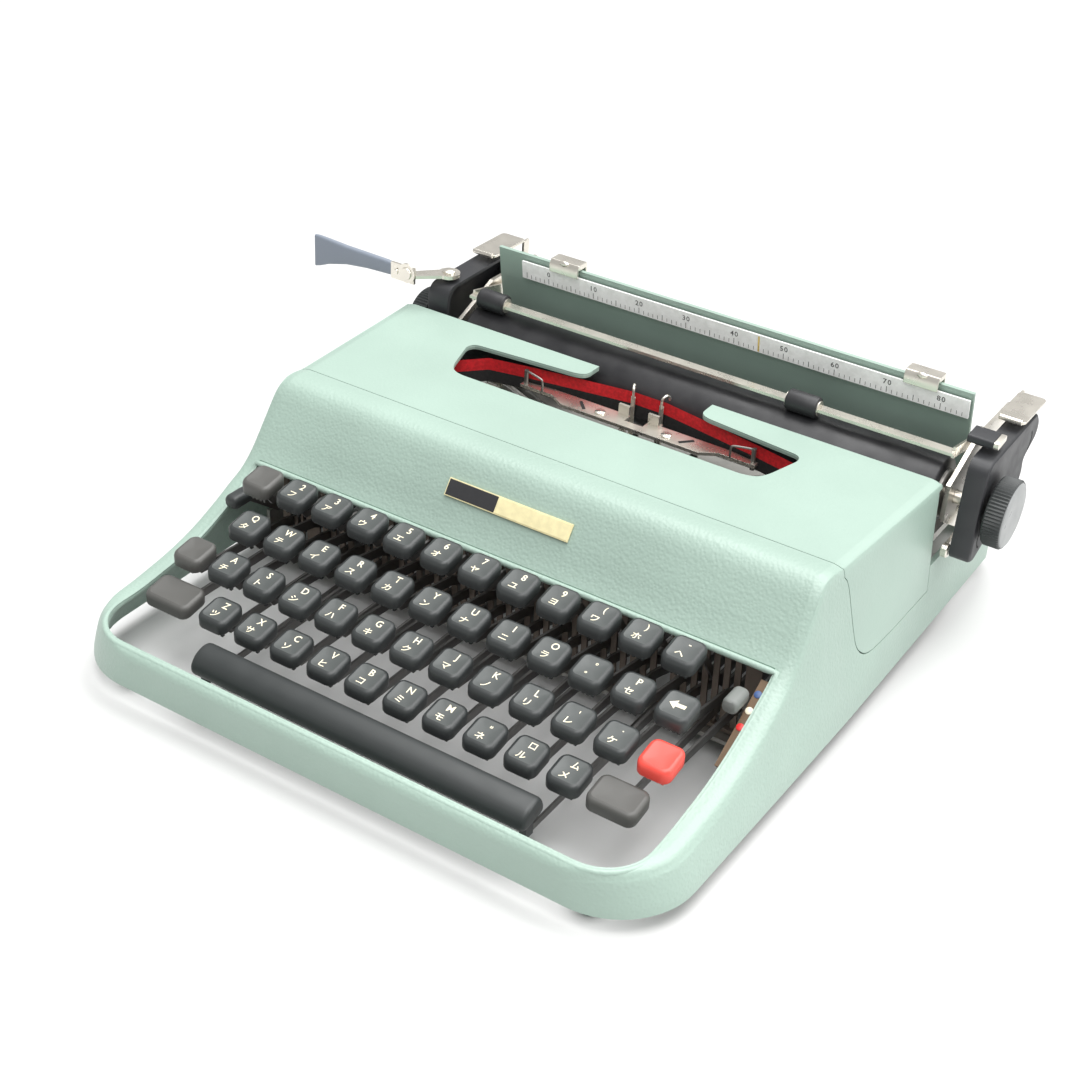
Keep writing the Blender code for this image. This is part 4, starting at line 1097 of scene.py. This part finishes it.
def make_return_lever():
    piece = Piece()
    piece.add(beam((-126.0, 92.0, 98.6), (-138.0, 80.0, 98.6), 8.0, 1.6, 6.4), "nickel")
    for profile, sides, finish in (
        ([(97.7, 5.5), (99.5, 5.5)], 32, "nickel"),
        ([(99.4, 3.2), (100.4, 3.2), (100.9, 2.4)], 28, "nickel"),
        ([(96.2, 2.4), (98.0, 2.4)], 24, "dull_steel"),
    ):
        piece.add(turned("z", profile, -126.0, 92.0, sides), finish)
    piece.add(turned("y", [(77.0, 5.0), (78.2, 5.0)], -141.0, 99.6, 28), "nickel")
    piece.add(turned("y", [(76.2, 2.9), (77.4, 3.3)], -141.0, 99.6, 24), "nickel")
    piece.add(turned("y", [(76.6, 1.2), (77.4, 1.4)], -147.2, 98.8, 18), "nickel")
    piece.add(beam((-137.0, 78.6, 98.6), (-151.0, 78.6, 98.6), 1.4, 8.4), "nickel")
    rings = []
    for x, y, z, tall, thick in (
        (-145.0, 79.4, 98.6, 5.6, 2.6), (-154.0, 79.6, 98.8, 7.4, 3.4), (-166.0, 79.6, 98.6, 8.2, 3.6),
        (-179.0, 79.4, 98.0, 10.0, 3.4), (-190.0, 79.1, 97.0, 13.6, 3.0), (-196.0, 78.8, 96.0, 16.4, 2.6),
        (-198.6, 78.6, 95.6, 17.0, 2.0),
    ):
        outline = rounded_rect(-thick / 2, thick / 2, -tall / 2, tall / 2, thick * 0.45, 4)
        rings.append([(x, y + py, z + pz) for py, pz in outline])
    piece.add(loft(rings), "blade_grey")
    piece.finish("return_blade", "return_lever", "nickel", ("return_lever",), sharp=40)


def make_side_levers():
    piece = Piece()
    piece.add(turned("x", [(145.6, 3.6), (147.0, 3.6)], 124.0, 84.0, 28), "dull_steel")
    piece.add(beam((146.3, 124.0, 84.0), (146.3, 100.0, 101.0), 1.4, 5.0), "dull_steel")
    grip = rounded([(92.0, 98.4), (102.5, 99.2), (102.5, 102.6), (92.0, 102.2)], 1.2)
    piece.add(prism(grip, "x", 143.5, 155.0), "cover_black")
    tip = rounded([(92.4, 98.7), (102.2, 99.5), (102.2, 102.3), (92.4, 101.9)], 1.0)
    piece.add(prism(tip, "x", 155.0, 157.4), "nickel")
    name = "paper_release_lever"
    piece.finish("paper_release_grip", name, "charcoal_plastic", (name,), bevel=0.2)
    piece = Piece()
    piece.add(turned("x", [(145.6, 3.4), (147.0, 3.4)], 112.0, 56.0, 28), "nickel")
    piece.add(beam((146.3, 112.0, 56.0), (146.3, 84.0, 50.0), 1.4, 4.0), "nickel")
    piece.add(turned("x", [(145.4, 3.2), (147.8, 3.2), (148.4, 2.6)], 83.0, 49.8, 32), "nickel")
    piece.finish("line_space_button", "line_space_lever", "nickel", ("line_space_lever",), sharp=35)


# ---- the CAD's own pieces


def dress_cad_nodes():
    """Finishes for the CAD pieces that stay as they are."""
    finishes = {
        "rubber": ("foot_front_left", "foot_front_right", "foot_rear_left", "foot_rear_right"),
        "nickel": ("key_pivot_rod", "working_typebar", "carriage_frame", "paper_bail"),
        "bright_steel": ("carriage_rail",),
        "dull_steel": ("chassis_frame", "type_segment", "mainspring_drum"),
        "black_steel": ("ribbon_spool_left", "ribbon_spool_right"),
        "green_paint": ("paper_table",),
    }
    for finish, names in finishes.items():
        for name in names:
            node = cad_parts[name]
            node.data.materials.clear()
            node.data.materials.append(MATERIALS[finish])
            for polygon in node.data.polygons:
                polygon.material_index = 0
            if name != "chassis_frame":
                round_edges(node, 0.25)


# ---- camera and studio


def make_camera():
    data = bpy.data.cameras.new("camera")
    data.lens = CAMERA_LENS
    data.sensor_width = 36.0
    data.clip_start = 0.01
    camera = linked("camera", data)
    azimuth, elevation, roll = (math.radians(a) for a in (CAMERA_AZIMUTH, CAMERA_ELEVATION, CAMERA_ROLL))
    level = math.cos(elevation)
    back = Vector((math.sin(azimuth) * level, -math.cos(azimuth) * level, math.sin(elevation)))
    right = (-back).cross(Vector((0, 0, 1))).normalized()
    up = right.cross(-back)
    right, up = right * math.cos(roll) + up * math.sin(roll), up * math.cos(roll) - right * math.sin(roll)
    turn = Matrix((right, up, back)).transposed().to_4x4()
    camera.matrix_world = Matrix.Translation(CAMERA_PLACE) @ turn
    bpy.context.scene.camera = camera


def aimed(way):
    return Vector(way).to_track_quat("-Z", "Y").to_euler()


def make_light(name, place, size, power):
    """A square soft box that faces the machine."""
    data = bpy.data.lights.new(name, "AREA")
    data.shape = "RECTANGLE"
    data.size = data.size_y = size
    data.energy = power
    light = linked(name, data)
    light.location = place
    light.rotation_euler = aimed(Vector(LAMP_TARGET) - Vector(place))


def make_studio():
    data = bpy.data.materials.new("floor")
    data.use_nodes = True
    feed(data.node_tree.nodes["Principled BSDF"], Base_Color=(*FLOOR_TONE, 1.0), Roughness=0.7)
    mesh = bpy.data.meshes.new("floor")
    mesh.from_pydata([(FLOOR_HALF * x, FLOOR_HALF * y, 0) for x, y in CORNERS], [], [(0, 1, 2, 3)])
    mesh.materials.append(data)
    linked("floor", mesh)
    world = bpy.data.worlds.new("studio")
    world.use_nodes = True
    feed(world.node_tree.nodes["Background"], Color=(1.0, 1.0, 1.0, 1.0), Strength=AMBIENT)
    bpy.context.scene.world = world
    sky = bpy.data.lights.new("sky", "SUN")
    sky.energy = SUN_POWER
    sky.angle = math.radians(SUN_SPREAD)
    linked("sky", sky).rotation_euler = aimed(SUN_WAY)
    make_light("right", (1.2, 0.2, 0.8), 0.8, 7.0)
    make_light("front", (0.2, -0.7, 1.4), 0.9, 11.0)
    bpy.context.scene.view_settings.view_transform = "Standard"


for make in (
    make_camera, make_studio, dress_cad_nodes, make_body, make_nameplate, make_keys, make_space_bar,
    make_comb, make_front_controls, make_basket, make_type_guide, make_vibrator, make_ribbon, make_platen,
    make_bail, make_end_covers, make_scale, make_margin_stops, make_releases, make_return_lever,
    make_side_levers,
):
    make()
